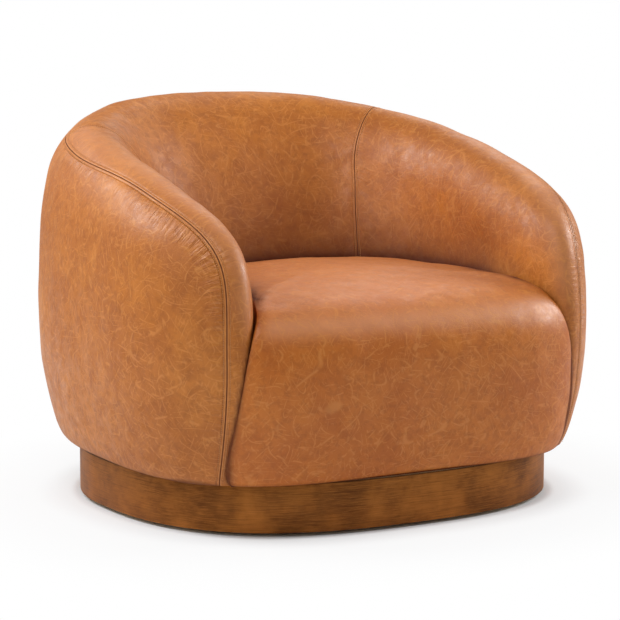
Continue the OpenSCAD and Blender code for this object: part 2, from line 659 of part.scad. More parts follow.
module at_circle(n, r, a0 = 0) translate([0, swivel_y, 0]) for (i = [0 : n - 1]) rotate([0, 0, a0 + 360 * i / n]) translate([r, 0, 0]) children();
module at_pivot() translate([0, swivel_y, 0]) children();

module race(z) difference() {
    at_pivot() translate([0, 0, z]) difference() {
        cylinder(r = pitch_r + race_half, h = race_h);
        translate([0, 0, -1]) cylinder(r = pitch_r - race_half, h = race_h + 2);
    }
    at_pivot() translate([0, 0, ball_z]) rotate_extrude() translate([pitch_r, 0]) circle(r = ball_d / 2 + run_gap);
}
module lower_race() color(steel) difference() {
    race(lower_z);
    at_circle(race_screws, race_screw_r) translate([0, 0, lower_z - 1]) cylinder(r = screw_r + run_gap, h = race_h + 2);
    at_circle(race_screws, race_screw_r) translate([0, 0, lower_z + race_h - head_h]) cylinder(r1 = screw_r + run_gap, r2 = head_r + run_gap, h = head_h);
}
module upper_race() color(steel) difference() {
    race(upper_z);
    at_circle(race_screws, race_screw_r, upper_turn) translate([0, 0, upper_z - 1]) cylinder(r = screw_r + run_gap, h = race_h + 2);
    at_circle(race_screws, race_screw_r, upper_turn) translate([0, 0, upper_z]) cylinder(r1 = head_r + run_gap, r2 = screw_r + run_gap, h = head_h);
}
race_screw_l = 20;
module lower_race_screws() color(zinc) at_circle(race_screws, race_screw_r) translate([0, 0, lower_z + race_h]) wood_screw(race_screw_l);
module upper_race_screws() color(zinc) at_circle(race_screws, race_screw_r, upper_turn) translate([0, 0, upper_z]) mirror([0, 0, 1]) wood_screw(race_screw_l);

cage_t = 1.6;
cage_half = 6.5;
module ball_cage() color("gold") difference() {
    at_pivot() translate([0, 0, ball_z - cage_t / 2]) difference() {
        cylinder(r = pitch_r + cage_half, h = cage_t);
        translate([0, 0, -1]) cylinder(r = pitch_r - cage_half, h = cage_t + 2);
    }
    at_circle(balls, pitch_r) translate([0, 0, ball_z - cage_t]) cylinder(r = ball_d / 2 + 2 * run_gap, h = 2 * cage_t);
}
module swivel_balls() color(zinc) at_circle(balls, pitch_r) translate([0, 0, ball_z]) sphere(d = ball_d);

module floor_board() color(birch) difference() {
    at_pivot() translate([0, 0, floor_board_z]) cylinder(d = floor_board_d, h = ply_t);
    at_pivot() translate([0, 0, floor_board_z - 1]) cylinder(r = pivot_d / 2 + run_gap, h = ply_t + 2);
    at_circle(race_screws, race_screw_r) translate([0, 0, lower_z + race_h - race_screw_l - 1]) cylinder(r = screw_r + run_gap, h = race_screw_l);
    at_circle(glides, glide_ring) translate([0, 0, floor_board_z - 1]) cylinder(r = stem_r + run_gap, h = stem_h + 1 + soft_gap);
}

glides = 6;
glide_ring = floor_board_d / 2 - 40;
glide_r = 16;
glide_edge = 2;
stem_r = 3;
stem_h = 12;
module floor_glides() color(black) at_circle(glides, glide_ring) rotate_extrude()
    polygon([[0, 0], [glide_r - glide_edge, 0], [glide_r, glide_edge], [glide_r, glide_h], [stem_r, glide_h],
        [stem_r, glide_h + stem_h], [0, glide_h + stem_h]]);

bush_wall = 3;
riser_h = beam_z - riser_z;
module riser() color(birch) difference() {
    at_pivot() translate([0, 0, riser_z]) cylinder(d = riser_d, h = riser_h);
    at_pivot() translate([0, 0, riser_z - 1]) cylinder(r = pivot_d / 2 + run_gap + bush_wall + run_gap, h = riser_h + 2);
    at_circle(race_screws, race_screw_r, upper_turn) translate([0, 0, riser_z - 1]) cylinder(r = screw_r + run_gap, h = race_screw_l - race_h + 2);
    at_riser_bolts() translate([0, 0, riser_z - 1]) cylinder(r = bolt_r + run_gap, h = riser_h + 2);
    at_riser_bolts() translate([0, 0, riser_z - 1]) cylinder(r = bolt_head_r + 2 * run_gap, h = bolt_head_h + 1);
}
bolt_r = 3;
bolt_head_r = 7;
bolt_head_h = 5;
module at_riser_bolts() translate([0, swivel_y, 0]) for (x = [-1, 1], y = [-1, 1]) translate([bolt_out * x, beam_pitch / 2 * y, 0]) children();
module riser_bolts() color(zinc) at_riser_bolts() {
    translate([0, 0, riser_z]) cylinder(r = bolt_head_r, h = bolt_head_h);
    translate([0, 0, riser_z]) cylinder(r = bolt_r, h = plinth_top - 1 - riser_z);
}

flange_t = 2;
flange_over = 6;
module pivot_bush() color("ivory") at_pivot() difference() {
    union() {
        translate([0, 0, riser_z]) cylinder(r = pivot_d / 2 + run_gap + bush_wall, h = riser_h);
        translate([0, 0, beam_z]) cylinder(r = pivot_d / 2 + bush_wall + flange_over, h = flange_t);
    }
    translate([0, 0, riser_z - 1]) cylinder(r = pivot_d / 2 + run_gap, h = riser_h + flange_t + 2);
}

shoulder_z = beam_z + flange_t + 0.2;
thread_r = pivot_d / 2 - 2;
pivot_head_h = 5;
module pivot_bolt() color(steel) at_pivot() {
    translate([0, 0, floor_board_z - pivot_head_h]) cylinder(r = pivot_d / 2 + 9, h = pivot_head_h);
    translate([0, 0, floor_board_z]) cylinder(r = pivot_d / 2, h = shoulder_z - floor_board_z);
    translate([0, 0, shoulder_z]) cylinder(r = thread_r, h = plinth_top - 2 - shoulder_z);
}
washer_t = 3;
module pivot_washer() color(zinc) at_pivot() translate([0, 0, shoulder_z]) difference() {
    cylinder(r = pivot_d / 2 + bush_wall + flange_over, h = washer_t);
    translate([0, 0, -1]) cylinder(r = thread_r + run_gap, h = washer_t + 2);
}
nut_h = 9;
module pivot_nut() color(zinc) at_pivot() translate([0, 0, shoulder_z + washer_t]) difference() {
    cylinder(r = 11.5, h = nut_h, $fn = 6);
    translate([0, 0, -1]) cylinder(r = thread_r + run_gap, h = nut_h + 2);
}

floor_glides();
floor_board();
pivot_bolt();
pivot_washer();
pivot_nut();
lower_race();
lower_race_screws();
ball_cage();
swivel_balls();
upper_race();
upper_race_screws();
riser();
riser_bolts();
pivot_bush();
plinth_beams();
plinth_core();
plinth_band();
deck_board();
deck_screws();
front_rail();
seat_hoop();
corner_blocks();
seat_springs();
spring_clips();
spring_ties();
spring_pad();
arm_ribs_left();
arm_ribs_right();
back_ribs();
shell_wall();
shell_rail();
seat_foam();
front_foam();
seat_cover();
arm_foam_left();
arm_foam_right();
back_foam();
outer_panel_left();
outer_panel_right();
outer_back_panel();
arm_panel_left();
arm_panel_right();
inside_back_panel();
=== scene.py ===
# %% [markdown]
# The CAD model comes in first, as a fixed frame. Its wood, steel and foam keep their places, and
# everything made below is laid over them in the same metres.

# %% Load the frame
import math

import bmesh
import bpy
import numpy as np
from mathutils import Matrix, Vector
from mathutils.bvhtree import BVHTree


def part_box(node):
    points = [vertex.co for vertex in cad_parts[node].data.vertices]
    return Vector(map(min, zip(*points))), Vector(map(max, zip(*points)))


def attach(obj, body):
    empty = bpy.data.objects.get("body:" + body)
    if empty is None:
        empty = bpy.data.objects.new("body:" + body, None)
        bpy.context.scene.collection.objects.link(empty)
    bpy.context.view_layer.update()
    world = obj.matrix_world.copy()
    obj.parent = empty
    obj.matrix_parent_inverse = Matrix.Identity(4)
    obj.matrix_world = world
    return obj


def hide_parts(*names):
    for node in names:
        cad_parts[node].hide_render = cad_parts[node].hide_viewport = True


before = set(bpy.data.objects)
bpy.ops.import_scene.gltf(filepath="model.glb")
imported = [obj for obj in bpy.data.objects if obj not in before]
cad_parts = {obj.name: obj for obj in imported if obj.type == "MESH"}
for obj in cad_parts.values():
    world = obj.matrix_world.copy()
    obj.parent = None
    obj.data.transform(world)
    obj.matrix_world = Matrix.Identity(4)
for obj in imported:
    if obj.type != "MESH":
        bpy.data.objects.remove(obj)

scene = bpy.context.scene
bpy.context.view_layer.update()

# %% [markdown]
# The photograph was taken from a little above, off the chair's left front corner, with a long
# lens. The camera is placed by that angle and distance, so the picture's own perspective comes out.

# %% Camera
SHELL_Y = -.0525                    # the shell's widest line, seen from the origin
VIEW_TURN, VIEW_RISE = -29.294, 8.346
VIEW_FROM, AIM_HEIGHT = 4.4982, .330
AIM_RIGHT, AIM_UP = .0031, -.0070   # small steps that frame the chair as the photograph does
LENS = 143.56
turn, rise = math.radians(VIEW_TURN), math.radians(VIEW_RISE)
away = Vector((math.sin(turn) * math.cos(rise), -math.cos(turn) * math.cos(rise), math.sin(rise)))
across = Vector((math.cos(turn), math.sin(turn), 0))
camera = bpy.data.objects.new("camera", bpy.data.cameras.new("camera"))
scene.collection.objects.link(camera)
scene.camera = camera
middle = Vector((0, SHELL_Y, AIM_HEIGHT)) + AIM_RIGHT * across + AIM_UP * away.cross(across)
camera.location = middle + VIEW_FROM * away
camera.rotation_mode = "QUATERNION"
camera.rotation_quaternion = (-away).to_track_quat("-Z", "Y")
camera.data.lens = LENS
camera.data.clip_end = 80
print("camera at", [round(x, 2) for x in camera.location])

# %% [markdown]
# A studio for furniture is mostly big soft sources: one overhead, which lays the broad pale
# streaks along the arms, one from each side, two from behind, and white surroundings. They are
# kept at a level where a colour renders about as it is written. The camera sees the surroundings
# as pure white, and the gloss of the leather sees a quarter of that, or a veil would lie on it.

# %% Lamps and surroundings
WORLD_LEVEL, GLOSS_SHARE = .26, .25
scene.view_settings.view_transform = "Standard"


def softbox(name, place, aim, size, power):
    lamp = bpy.data.lights.new(name, "AREA")
    lamp.shape, lamp.size, lamp.size_y, lamp.energy = "RECTANGLE", size[0], size[1], power
    box = bpy.data.objects.new(name, lamp)
    scene.collection.objects.link(box)
    box.location = place
    box.rotation_euler = (Vector(aim) - Vector(place)).to_track_quat("-Z", "Y").to_euler()


softbox("high_softbox", (-1.2, -.8, 2.3), (0, 0, .4), (1, .85), 15)
softbox("left_softbox", (-2.8, -.5, 1.5), (0, 0, .4), (1.4, 1.5), 6)
softbox("right_softbox", (2.6, -.6, 1.5), (0, 0, .4), (1.2, 1.3), 50)
softbox("rear_left_softbox", (-1.9, 1.4, 2.2), (0, 0, .5), (1.3, 1.1), 47)
softbox("rear_right_softbox", (1.7, 1.6, 2.2), (0, 0, .5), (1.3, 1.1), 7)

world = bpy.data.worlds.new("studio")
scene.world = world
world.use_nodes = True
tree = world.node_tree
surround = tree.nodes["Background"]
backdrop = tree.nodes.new("ShaderNodeBackground")
for white, level in ((surround, WORLD_LEVEL), (backdrop, 1)):
    white.inputs["Color"].default_value = (1, 1, 1, 1)
    white.inputs["Strength"].default_value = level
ray = tree.nodes.new("ShaderNodeLightPath")
seen, share = tree.nodes.new("ShaderNodeMath"), tree.nodes.new("ShaderNodeMath")
seen.operation, share.operation = "MAXIMUM", "MULTIPLY_ADD"
share.inputs[1].default_value = GLOSS_SHARE
mix = tree.nodes.new("ShaderNodeMixShader")
for out, into in ((ray.outputs["Is Camera Ray"], seen.inputs[0]),
                  (ray.outputs["Is Transmission Ray"], seen.inputs[1]),
                  (ray.outputs["Is Glossy Ray"], share.inputs[0]),
                  (seen.outputs[0], share.inputs[2]),
                  (share.outputs[0], mix.inputs["Fac"]),
                  (surround.outputs[0], mix.inputs[1]),
                  (backdrop.outputs[0], mix.inputs[2]),
                  (mix.outputs[0], tree.nodes["World Output"].inputs["Surface"])):
    tree.links.new(out, into)

# %% [markdown]
# Every finish is a small tree of nodes. A short helper adds a node, and sets or links its sockets
# by name, so that each recipe below reads as a list of what goes into it.

# %% Node helper
class Recipe:
    """A material under construction."""

    def __init__(self, name):
        self.material = bpy.data.materials.new(name)
        self.material.use_nodes = True
        self.tree = self.material.node_tree
        self.shader = self.tree.nodes["Principled BSDF"]
        self.place = self.add("TexCoord").outputs["Object"]

    def add(self, kind, **settings):
        node = self.tree.nodes.new("ShaderNode" + kind)
        for key, value in settings.items():
            setattr(node, key, value)
        return node

    def feed(self, node, **sockets):
        for key, value in sockets.items():
            socket = node.inputs[int(key[1:])] if key[0] == "_" else node.inputs[key.replace("_", " ")]
            if isinstance(value, bpy.types.NodeSocket):
                self.tree.links.new(value, socket)
            else:
                socket.default_value = value
        return node

    def math(self, operation, a, b):
        return self.feed(self.add("Math", operation=operation), _0=a, _1=b).outputs[0]

    def times(self, a, b):
        return self.math("MULTIPLY", a, b)

    def plus(self, a, b):
        return self.math("ADD", a, b)

    def noise(self, scale, detail=2, rough=.5, place=None):
        return self.feed(self.add("TexNoise"), Vector=place or self.place, Scale=scale, Detail=detail,
                         Roughness=rough).outputs["Fac"]

    def stretched(self, scale, turn=(0, 0, 0)):
        return self.feed(self.add("Mapping"), Vector=self.place, Rotation=turn, Scale=scale).outputs[0]

    def between(self, value, low, high, out_low=0, out_high=1):
        node = self.add("MapRange", clamp=True, interpolation_type="SMOOTHSTEP")
        self.feed(node, Value=value, From_Min=low, From_Max=high, To_Min=out_low, To_Max=out_high)
        return node.outputs[0]

    def blend(self, share, a, b):
        return self.feed(self.add("Mix", data_type="RGBA"), _0=share, _6=a, _7=b).outputs[2]

    def wobbled(self, scale, amount):
        """The place moved about by noise, so that straight patterns wander."""
        noise = self.feed(self.add("TexNoise"), Vector=self.place, Scale=scale, Detail=2).outputs["Color"]
        off = self.feed(self.add("VectorMath", operation="SUBTRACT"), _0=noise, _1=(.5, .5, .5)).outputs[0]
        off = self.feed(self.add("VectorMath", operation="SCALE"), _0=off, Scale=amount).outputs[0]
        return self.feed(self.add("VectorMath", operation="ADD"), _0=self.place, _1=off).outputs[0]

    def bump(self, height, depth, strength=1, under=None):
        node = self.feed(self.add("Bump"), Height=height, Distance=depth, Strength=strength)
        if under:
            self.feed(node, Normal=under)
        return node.outputs[0]


def rgb(r, g, b):
    """A colour as a screen shows it, 0 to 255, in the linear values that a shader takes."""
    return tuple((c / 255 / 12.92 if c < 11 else ((c / 255 + .055) / 1.055) ** 2.4) for c in (r, g, b)) + (1,)


print("tan in linear light", [round(c, 3) for c in rgb(190, 118, 64)])

# %% [markdown]
# The leather is a waxed pull-up hide. Where it is stretched or rubbed, the wax moves aside and the
# hide shows paler, so a web of fine pale scars and veins lies over a brown that drifts from warm
# orange to darker patches. It could be a photograph of hide; here it is noise at each size seen on
# the real one: hand-sized drift, coin-sized mottle, hairline veins and fine grain.

# %% Veins
WEBS = ((34, .012, 44, .046, 74, .45), (60, .006, 86, .075, 60, .4))
HAIR_LAYERS = ((1.5, .2, 21, 10, 44), (.46, .1, 26, 9, 52), (.46, 1.36, 18, 12, 38),
               (.46, 2.6, 31, 8, 58), (.46, 3.87, 23, 10, 48), (.46, 5.13, 19, 11, 42))


def crackle(m, place, scale, width, where):
    """Lines between the cells of a web, kept only where a noise is high."""
    cells = m.feed(m.add("TexVoronoi", feature="DISTANCE_TO_EDGE"), Vector=place, Scale=scale)
    return m.times(m.between(cells.outputs["Distance"], 0, width, 1, 0), m.between(m.noise(where), .5, .64))


def hairs(m, tilt, way, size, count, where):
    """Long hairlines: contour lines of a soft noise, drawn out across a turned axis and broken."""
    turned = m.feed(m.add("Mapping", vector_type="TEXTURE"), Vector=m.place, Rotation=(0, -tilt, way),
                    Scale=(.87 / size, 3.3 / size, 3.3 / size)).outputs[0]
    field = m.noise(1, 0, .4, turned)
    line = m.between(m.math("PINGPONG", m.times(field, count), .5), 0, .1, 1, 0)
    return m.times(line, m.between(m.noise(where, 3, .6), .47, .6))


def veins_into(m):
    """Pale broken lines: hairs that cross in every direction, and a faint web between them."""
    layers = [m.times(crackle(m, m.wobbled(sway, reach), cells, width, where), strength)
              for sway, reach, cells, width, where, strength in WEBS]
    layers += [hairs(m, *layer) for layer in HAIR_LAYERS]
    web = layers[0]
    for layer in layers[1:]:
        web = m.math("MAXIMUM", web, layer)
    return web


print("veins from", len(WEBS), "webs and", len(HAIR_LAYERS), "layers of hairs")

# %% Leather
STITCHED, STITCH_PITCH = 5.6, 3.8     # millimetres from a seam to its stitches, and from one to the next


def leather(name, pale, warm, brown, umber):
    m = Recipe(name)
    seam, along, pull, shade, worn = (m.add("Attribute", attribute_name=key).outputs["Fac"]
                                      for key in ("seam", "along", "pull", "shade", "worn"))
    # The dye: drift as wide as a hand, then mottle, small spots, rubbed places that also carry a painted
    # sheen, and veins.
    drift = m.between(m.noise(5.5, 3, .55), .36, .64)
    mottle = m.between(m.noise(24, 5, .6, m.wobbled(12, .05)), .42, .62)
    spots = m.between(m.noise(70, 4, .6, m.wobbled(30, .014)), .46, .64)
    colour = m.blend(drift, warm, pale)
    colour = m.blend(m.times(mottle, .38), colour, brown)
    colour = m.blend(m.times(spots, .28), colour, umber)
    # Paler where the hide is rubbed, with a painted highlight on the same places.
    colour = m.blend(m.times(worn, .3), colour, rgb(236, 162, 116))
    colour = m.blend(m.times(veins_into(m), .38), colour, rgb(238, 160, 80))
    # Beside a seam: the needle's holes, the pale welt and the groove. Last comes the painted shade that the
    # shade attribute carries: in the bowl, at the foot and in the crevices.
    off = m.math("ABSOLUTE", m.math("SUBTRACT", seam, STITCHED * .001), 0)
    beat = m.between(m.math("PINGPONG", along, STITCH_PITCH * .0005), .0004, .0014, 1, 0)
    hole = m.times(m.between(off, .0003, .0011, 1, 0), beat)
    colour = m.blend(m.times(hole, .5), colour, rgb(104, 54, 20))
    # The pale welt: partly paler stretched hide, partly a painted highlight on the raised edge.
    colour = m.blend(m.between(seam, .0018, .0032, .4, 0), colour, rgb(236, 164, 98))
    colour = m.blend(m.between(seam, .0006, .0017, .9, 0), colour, rgb(112, 50, 16))
    # Painted shade: the hide darkens towards a deep brown where the shade attribute is high.
    colour = m.blend(m.math("MINIMUM", shade, 1), colour, rgb(88, 34, 6))
    # Gloss and relief: pebbled grain, folds that run away from the seams, and dull grooves.
    grain = m.feed(m.add("TexVoronoi", feature="SMOOTH_F1"), Vector=m.wobbled(300, .001), Scale=560,
                   Smoothness=.6).outputs["Distance"]
    rough = m.between(m.noise(60, 4, .6), .3, .7, .36, .5)
    rough = m.plus(m.plus(rough, m.times(mottle, .06)), m.times(shade, .45))
    rough = m.math("MAXIMUM", rough, m.between(seam, .0008, .0018, 1, 0))
    across = m.feed(m.add("CombineXYZ"), _0=m.times(along, 180), _1=m.times(seam, 16)).outputs[0]
    pulled = m.times(pull, m.times(m.between(seam, .004, .008), m.between(seam, .012, .05, 1, 0)))
    pulled = m.times(pulled, m.between(m.noise(7, 2), .4, .6, .25, 1))
    normal = m.bump(m.noise(46, 4, .6), .0014, .5)
    normal = m.bump(m.times(m.noise(1, 2, .5, across), pulled), .0042, 1, normal)
    normal = m.bump(grain, .00022, .7, normal)
    normal = m.bump(m.noise(900, 2, .5), .0001, .5, normal)
    m.feed(m.shader, Base_Color=colour, Roughness=rough, Normal=normal)
    m.shader.inputs["Specular IOR Level"].default_value = .5
    return m.material


shell_leather = leather("shell_leather", rgb(208, 125, 43), rgb(192, 110, 32), rgb(168, 88, 22),
                        rgb(150, 76, 16))
seat_leather = leather("seat_leather", rgb(214, 122, 38), rgb(202, 109, 28), rgb(182, 90, 18),
                       rgb(162, 76, 12))
print("leather with", len(shell_leather.node_tree.nodes), "nodes")

# %% [markdown]
# The shell is one surface: an outer face that bellies out from the plinth, a soft roll over the
# top, and an inner face that falls to the seat. It could be sculpted, or drawn as loose curves.
# Here the same rules as in the part's source place each point, because leather and foam then fit.
# First the outlines, in millimetres: the outer face by angle and height, and the inner by station.

# %% Outlines of the shell
HALF_W, FRONT, BACK = 457, 422, 521
FRONT_POWER, BACK_POWER = 3.25, 2.4                 # squareness of the outline before and behind
BACK_SEAM, ARM_SEAM, BELLY, FOOT, DECK = 673, 516, 314, 91, 109.3
SLOPE_POWER, SLOPE_DIP = .8, 6                      # how the top seam falls from the back to the arms
LEAN, ROUND, ROUND_POWER = 23, 39, 7.8              # how the shoulder draws in towards the top seam
TUCK, TUCK_POWER = 35, 2.1                          # and the belly towards its foot
ARM_TURN, DEGREE = 135.4, 7.6                       # the arm-front seam's angle; outline to a degree
EDGE_POWER = 12.8                                   # squareness of its turn from top to front
SWEEP, SWEEP_H = 3.4, 300                           # degrees that it sweeps back at its foot
SEAT_HALF, BOWL_DEEP, BOWL_FORE, SEAT_EDGE = 271, 250, 83, 398
BOWL_POWER, BOWL_TURN, BOWL_EASE = 3, 105, 1.46     # the bowl's round end, up to station 105
NOSE_FLARE, NOSE_POWER, NOSE_RUN = 60, 1.3, 225     # how the arm's inner face opens at its foot
ROLL_DEEP, ROLL_OUT, ROLL_IN = 82, .4, .58
BOWL_RUN = SEAT_HALF * BOWL_EASE * 90 / BOWL_TURN * math.pi / 180


def oval(angle, half, front, back, front_power, back_power):
    s, c = np.abs(np.sin(angle)), np.cos(angle)
    deep, power = np.where(c < 0, front, back), np.where(c < 0, front_power, back_power)
    return ((s / half) ** power + (np.abs(c) / deep) ** power) ** (-1 / power)


def seam_height(t):
    a = np.pi / 2 * np.minimum(1, np.abs(t) / ARM_TURN)
    fall = np.maximum(np.cos(a), 0) ** SLOPE_POWER
    return ARM_SEAM + (BACK_SEAM - ARM_SEAM) * fall - SLOPE_DIP * np.sin(2 * a)


def outer_face(t, z, deep=0):
    up = np.maximum(0, (z - BELLY) / (seam_height(t) - BELLY))
    down = np.maximum(0, (BELLY - z) / (BELLY - FOOT))
    inset = LEAN * up ** 2 + ROUND * up ** ROUND_POWER + TUCK * down ** TUCK_POWER + deep
    a = np.radians(t)
    r = oval(a, HALF_W - inset, FRONT - inset, BACK - inset, FRONT_POWER, BACK_POWER)
    return np.stack([r * np.sin(a), r * np.cos(a), z + 0 * r], -1)


def inner_face(q, z, deep=0):
    rise = z - SEAT_EDGE
    half = SEAT_HALF + np.where(rise > 0, .1, .05) * rise + deep
    back = BOWL_DEEP + np.where(rise > 0, .6, .2) * rise + deep
    size = np.abs(q)
    phi = np.pi / 2 * np.minimum(1, size / BOWL_TURN) ** BOWL_EASE
    r = oval(phi, half, back, back, BOWL_POWER, BOWL_POWER)
    run = np.maximum(0, size - BOWL_TURN) * BOWL_RUN
    low = np.clip((SEAT_EDGE - z) / (SEAT_EDGE - FOOT), 0, 1)
    x = r * np.sin(phi) + NOSE_FLARE * low ** NOSE_POWER * np.minimum(1, run / NOSE_RUN) ** 2
    return np.stack([x * np.where(q < 0, -1, 1), r * np.cos(phi) - BOWL_FORE - run, z + 0 * r], -1)


def unit(v):
    return v / np.linalg.norm(v, axis=-1, keepdims=True)


def smooth_step(x, low=0, high=1):
    x = np.clip((x - low) / (high - low), 0, 1)
    return x * x * (3 - 2 * x)


fine = np.radians(np.linspace(0, 90, 2881))
bend = (np.abs(np.cos(fine)) ** EDGE_POWER + np.sin(fine) ** EDGE_POWER) ** (1 / EDGE_POWER)
top_t = ARM_TURN * np.cos(fine) / bend
top_z = FOOT + (seam_height(top_t) - FOOT) * np.sin(fine) / bend
top_t = top_t - SWEEP * np.maximum(0, (SWEEP_H - top_z) / (SWEEP_H - FOOT)) ** 2
run = np.concatenate([[0], np.cumsum(np.hypot(np.diff(top_t) * DEGREE, np.diff(top_z)))])
HALF_RUN = run[-1]
runs = np.concatenate([run, 2 * HALF_RUN - run[-2::-1]])
top_ts, top_zs = np.concatenate([top_t, -top_t[-2::-1]]), np.concatenate([top_z, top_z[-2::-1]])
print("half of the top seam is", round(HALF_RUN), "mm long")

# %% [markdown]
# Across the shell, each station runs from the foot up the outer face (-1 to 0), over the roll
# (0 to 1) and down the inner face (1 to 2). k counts stations from the arm's foot, 0, to the
# middle of the back, 1, and on to the other side.

# %% One point of the shell
OUT_FOOT, OUT_EASE = 87, .66        # angles that the stations spread over at the foot, outside
IN_FOOT, IN_EASE = 101, .6          # and inside, closing up towards the arm's front by a power
NEAR_SEAM, OFF_SEAM = 10, 120       # where a station leaves the seam's own direction, in mm


def rolled(b, start, leave, end, arrive):
    """The soft roll from start to end, as a curve with these directions at its ends."""
    gap = np.linalg.norm(end - start, axis=-1, keepdims=True)
    return ((1 - b) ** 3 * start + 3 * (1 - b) ** 2 * b * (start + leave * ROLL_OUT * gap)
            + 3 * (1 - b) * b * b * (end - arrive * ROLL_IN * gap) + b ** 3 * end)


def shell_point(k, v, deep=0):
    k, v = np.broadcast_arrays(np.asarray(k, float), np.asarray(v, float))
    half = np.where(k > 1, 2 - k, k)
    l = half * HALF_RUN
    t, z = np.interp(l, runs, top_ts), np.interp(l, runs, top_zs)
    before, after = np.maximum(l - 2, 0), l + 2
    dt = (np.interp(after, runs, top_ts) - np.interp(before, runs, top_ts)) * DEGREE
    dz = np.interp(after, runs, top_zs) - np.interp(before, runs, top_zs)
    long = np.hypot(dt, dz)
    nt, nz = -dz / long, dt / long
    way, fan = np.clip(t / ARM_TURN, 0, 1), np.maximum(0, 1 - half / .3)
    foot_t = OUT_FOOT * way ** OUT_EASE + (25 - deep / DEGREE) * fan
    foot_q = IN_FOOT * way ** IN_EASE + 10 * fan
    w = np.clip(-v, 0, 1)
    s = w * np.hypot((t - foot_t) * DEGREE, z - FOOT)
    m = smooth_step(s, NEAR_SEAM, OFF_SEAM)
    out = outer_face((t + nt * s / 8) * (1 - m) + (t + (foot_t - t) * w) * m,
                     np.maximum(FOOT, (z + nz * s) * (1 - m) + (z + (FOOT - z) * w) * m), deep)
    start = outer_face(t, z, deep)
    leave = unit(start - outer_face(t + nt * 2 / DEGREE, z + nz * 2, deep))
    q, zq = t + nt * ROLL_DEEP / DEGREE, np.maximum(DECK, z + nz * ROLL_DEEP)
    end = inner_face(q, zq, deep)
    arrive = unit(inner_face(q + nt * 2 / DEGREE, zq + nz * 2, deep) - end)
    b = np.clip(v, 0, 1)[..., None]
    roll = rolled(b, start, leave, end, arrive)
    roll[..., 2] = np.maximum(roll[..., 2], FOOT + (DECK - FOOT) * np.clip((b[..., 0] - .1) / .25, 0, 1))
    w = np.clip(v - 1, 0, 1)
    inside = inner_face(q + (foot_q - q) * w, zq + (DECK - zq) * w, deep)
    p = np.where((v < 0)[..., None], out, np.where((v <= 1)[..., None], roll, inside))
    p[..., 0] = np.where(k > 1, -p[..., 0], p[..., 0])
    return p


print("middle of the back, at the seam", shell_point(1, 0).round(1))

# %% [markdown]
# A seam's groove must be as wide at the arm as at the back, so rows are laid by real distance.
# These tables turn millimetres from the top seam into the station's own measure.

# %% Distances on the shell
def walked(p, axis):
    """How far it is to each point of a grid, along its rows (1) or its columns (0)."""
    step = np.linalg.norm(np.diff(p, axis=axis), axis=-1)
    return np.insert(np.cumsum(step, axis), 0, 0, axis)


STATIONS, Y_STEP = 320, 5
table_k = np.linspace(0, 2, STATIONS + 1)
table_v = np.linspace(-1, 2, 481)
steps = walked(shell_point(table_k[:, None], table_v[None]), 1)
far = steps - steps[:, 160:161]
Y = np.arange(-640, 801, float(Y_STEP))
by_mm = np.array([np.interp(Y, row, table_v) for row in far])
foot_mm, deck_mm = far[:, 0], far[:, -1]


def table_value(table, k, y):
    """Reads a table of k by Y between its entries."""
    a = np.clip(k / 2 * STATIONS, 0, STATIONS - .001)
    b = np.clip((y - Y[0]) / Y_STEP, 0, len(Y) - 1.001)
    i, j = a.astype(int), b.astype(int)
    a, b = a - i, b - j
    return ((table[i, j] * (1 - b) + table[i, j + 1] * b) * (1 - a)
            + (table[i + 1, j] * (1 - b) + table[i + 1, j + 1] * b) * a)


def seam_shift(k, y):
    """The arm's top seam lies a little lower on the outside towards the back, its surroundings too."""
    half = np.where(k > 1, 2 - k, k)
    return -17 * smooth_step(half, .42, .62) * (1 - smooth_step(half, .78, .95)) * np.exp(-np.abs(y) / 90)


def at(k, y):
    """The point y millimetres from the top seam: below 0 on the outer face, above 0 over the roll."""
    k, y = np.broadcast_arrays(np.asarray(k, float), np.asarray(y, float))
    return shell_point(k, table_value(by_mm, k, y + seam_shift(k, y)))


def per_mm(k, y):
    """Stations to a millimetre, along the shell."""
    return .002 / np.linalg.norm(at(k + .001, y) - at(k - .001, y), axis=-1)


print("arm, from seam to foot and seam to seat deck, mm:", round(foot_mm[80]), round(deck_mm[80]))

# %% [markdown]
# A leather panel is a flat cut pulled over foam. In Blender it starts as a grid, its points are
# moved onto the shell, and a Solidify modifier gives it the hide's thickness. The groove of a seam
# is shaped by each point's distance from it: the edge curls down, a small welt stands beside it,
# and the stitches pull a crease a little further out.

# %% Grid helpers
LEATHER = .0016         # metres
CLEAR = .2              # millimetres that a lowest edge keeps above what it lies over
GROOVE, WELT_AT = .7, 2.4   # depth of a seam's groove, and where the welt stands beside it
# Rows are laid at these distances from a seam, and from a turned lower edge.
WELT_ROWS = np.array([.1, .1, .45, .9, 1.4, 2.1, 3, 3.9, 4.6, 5.1, 5.6, 6.1, 6.8, 8, 10, 12.8, 16, 20, 24])
HEM_ROWS = np.array([0, .8, 1.8, 3, 4.5, 6.5, 9, 13])


def spaced(total, step, first, last):
    """Distances from 0 to total, with these finer ones at its two ends."""
    high = total - last[::-1]
    count = max(2, int(round((high[0] - first[-1]) / step)))
    return np.concatenate([first, np.linspace(first[-1], high[0], count + 1)[1:-1], high])


def seam_profile(e):
    """Height of the leather at a distance e from a seam: curled edge, welt, stitched crease."""
    curl = np.clip(GROOVE - e, 0, GROOVE)
    return (np.sqrt(np.maximum(0, GROOVE ** 2 - curl ** 2)) - GROOVE - .5 * np.exp(-e / 9)
            + .5 * np.exp(-((e - WELT_AT) / 1.3) ** 2) - .3 * np.exp(-((e - STITCHED) / 1.2) ** 2))


def waves(p, size, seed, count=14):
    """Smooth wandering values between about -1 and 1, for the way leather lies."""
    rng = np.random.default_rng(seed)
    way = rng.normal(size=(count, 3))
    way = way / np.linalg.norm(way, axis=1)[:, None] * (2 * np.pi / size) * rng.uniform(.6, 1.5, (count, 1))
    return np.sin(p @ way.T + rng.uniform(0, 6.28, count)).sum(-1) * math.sqrt(2 / count) / 1.6


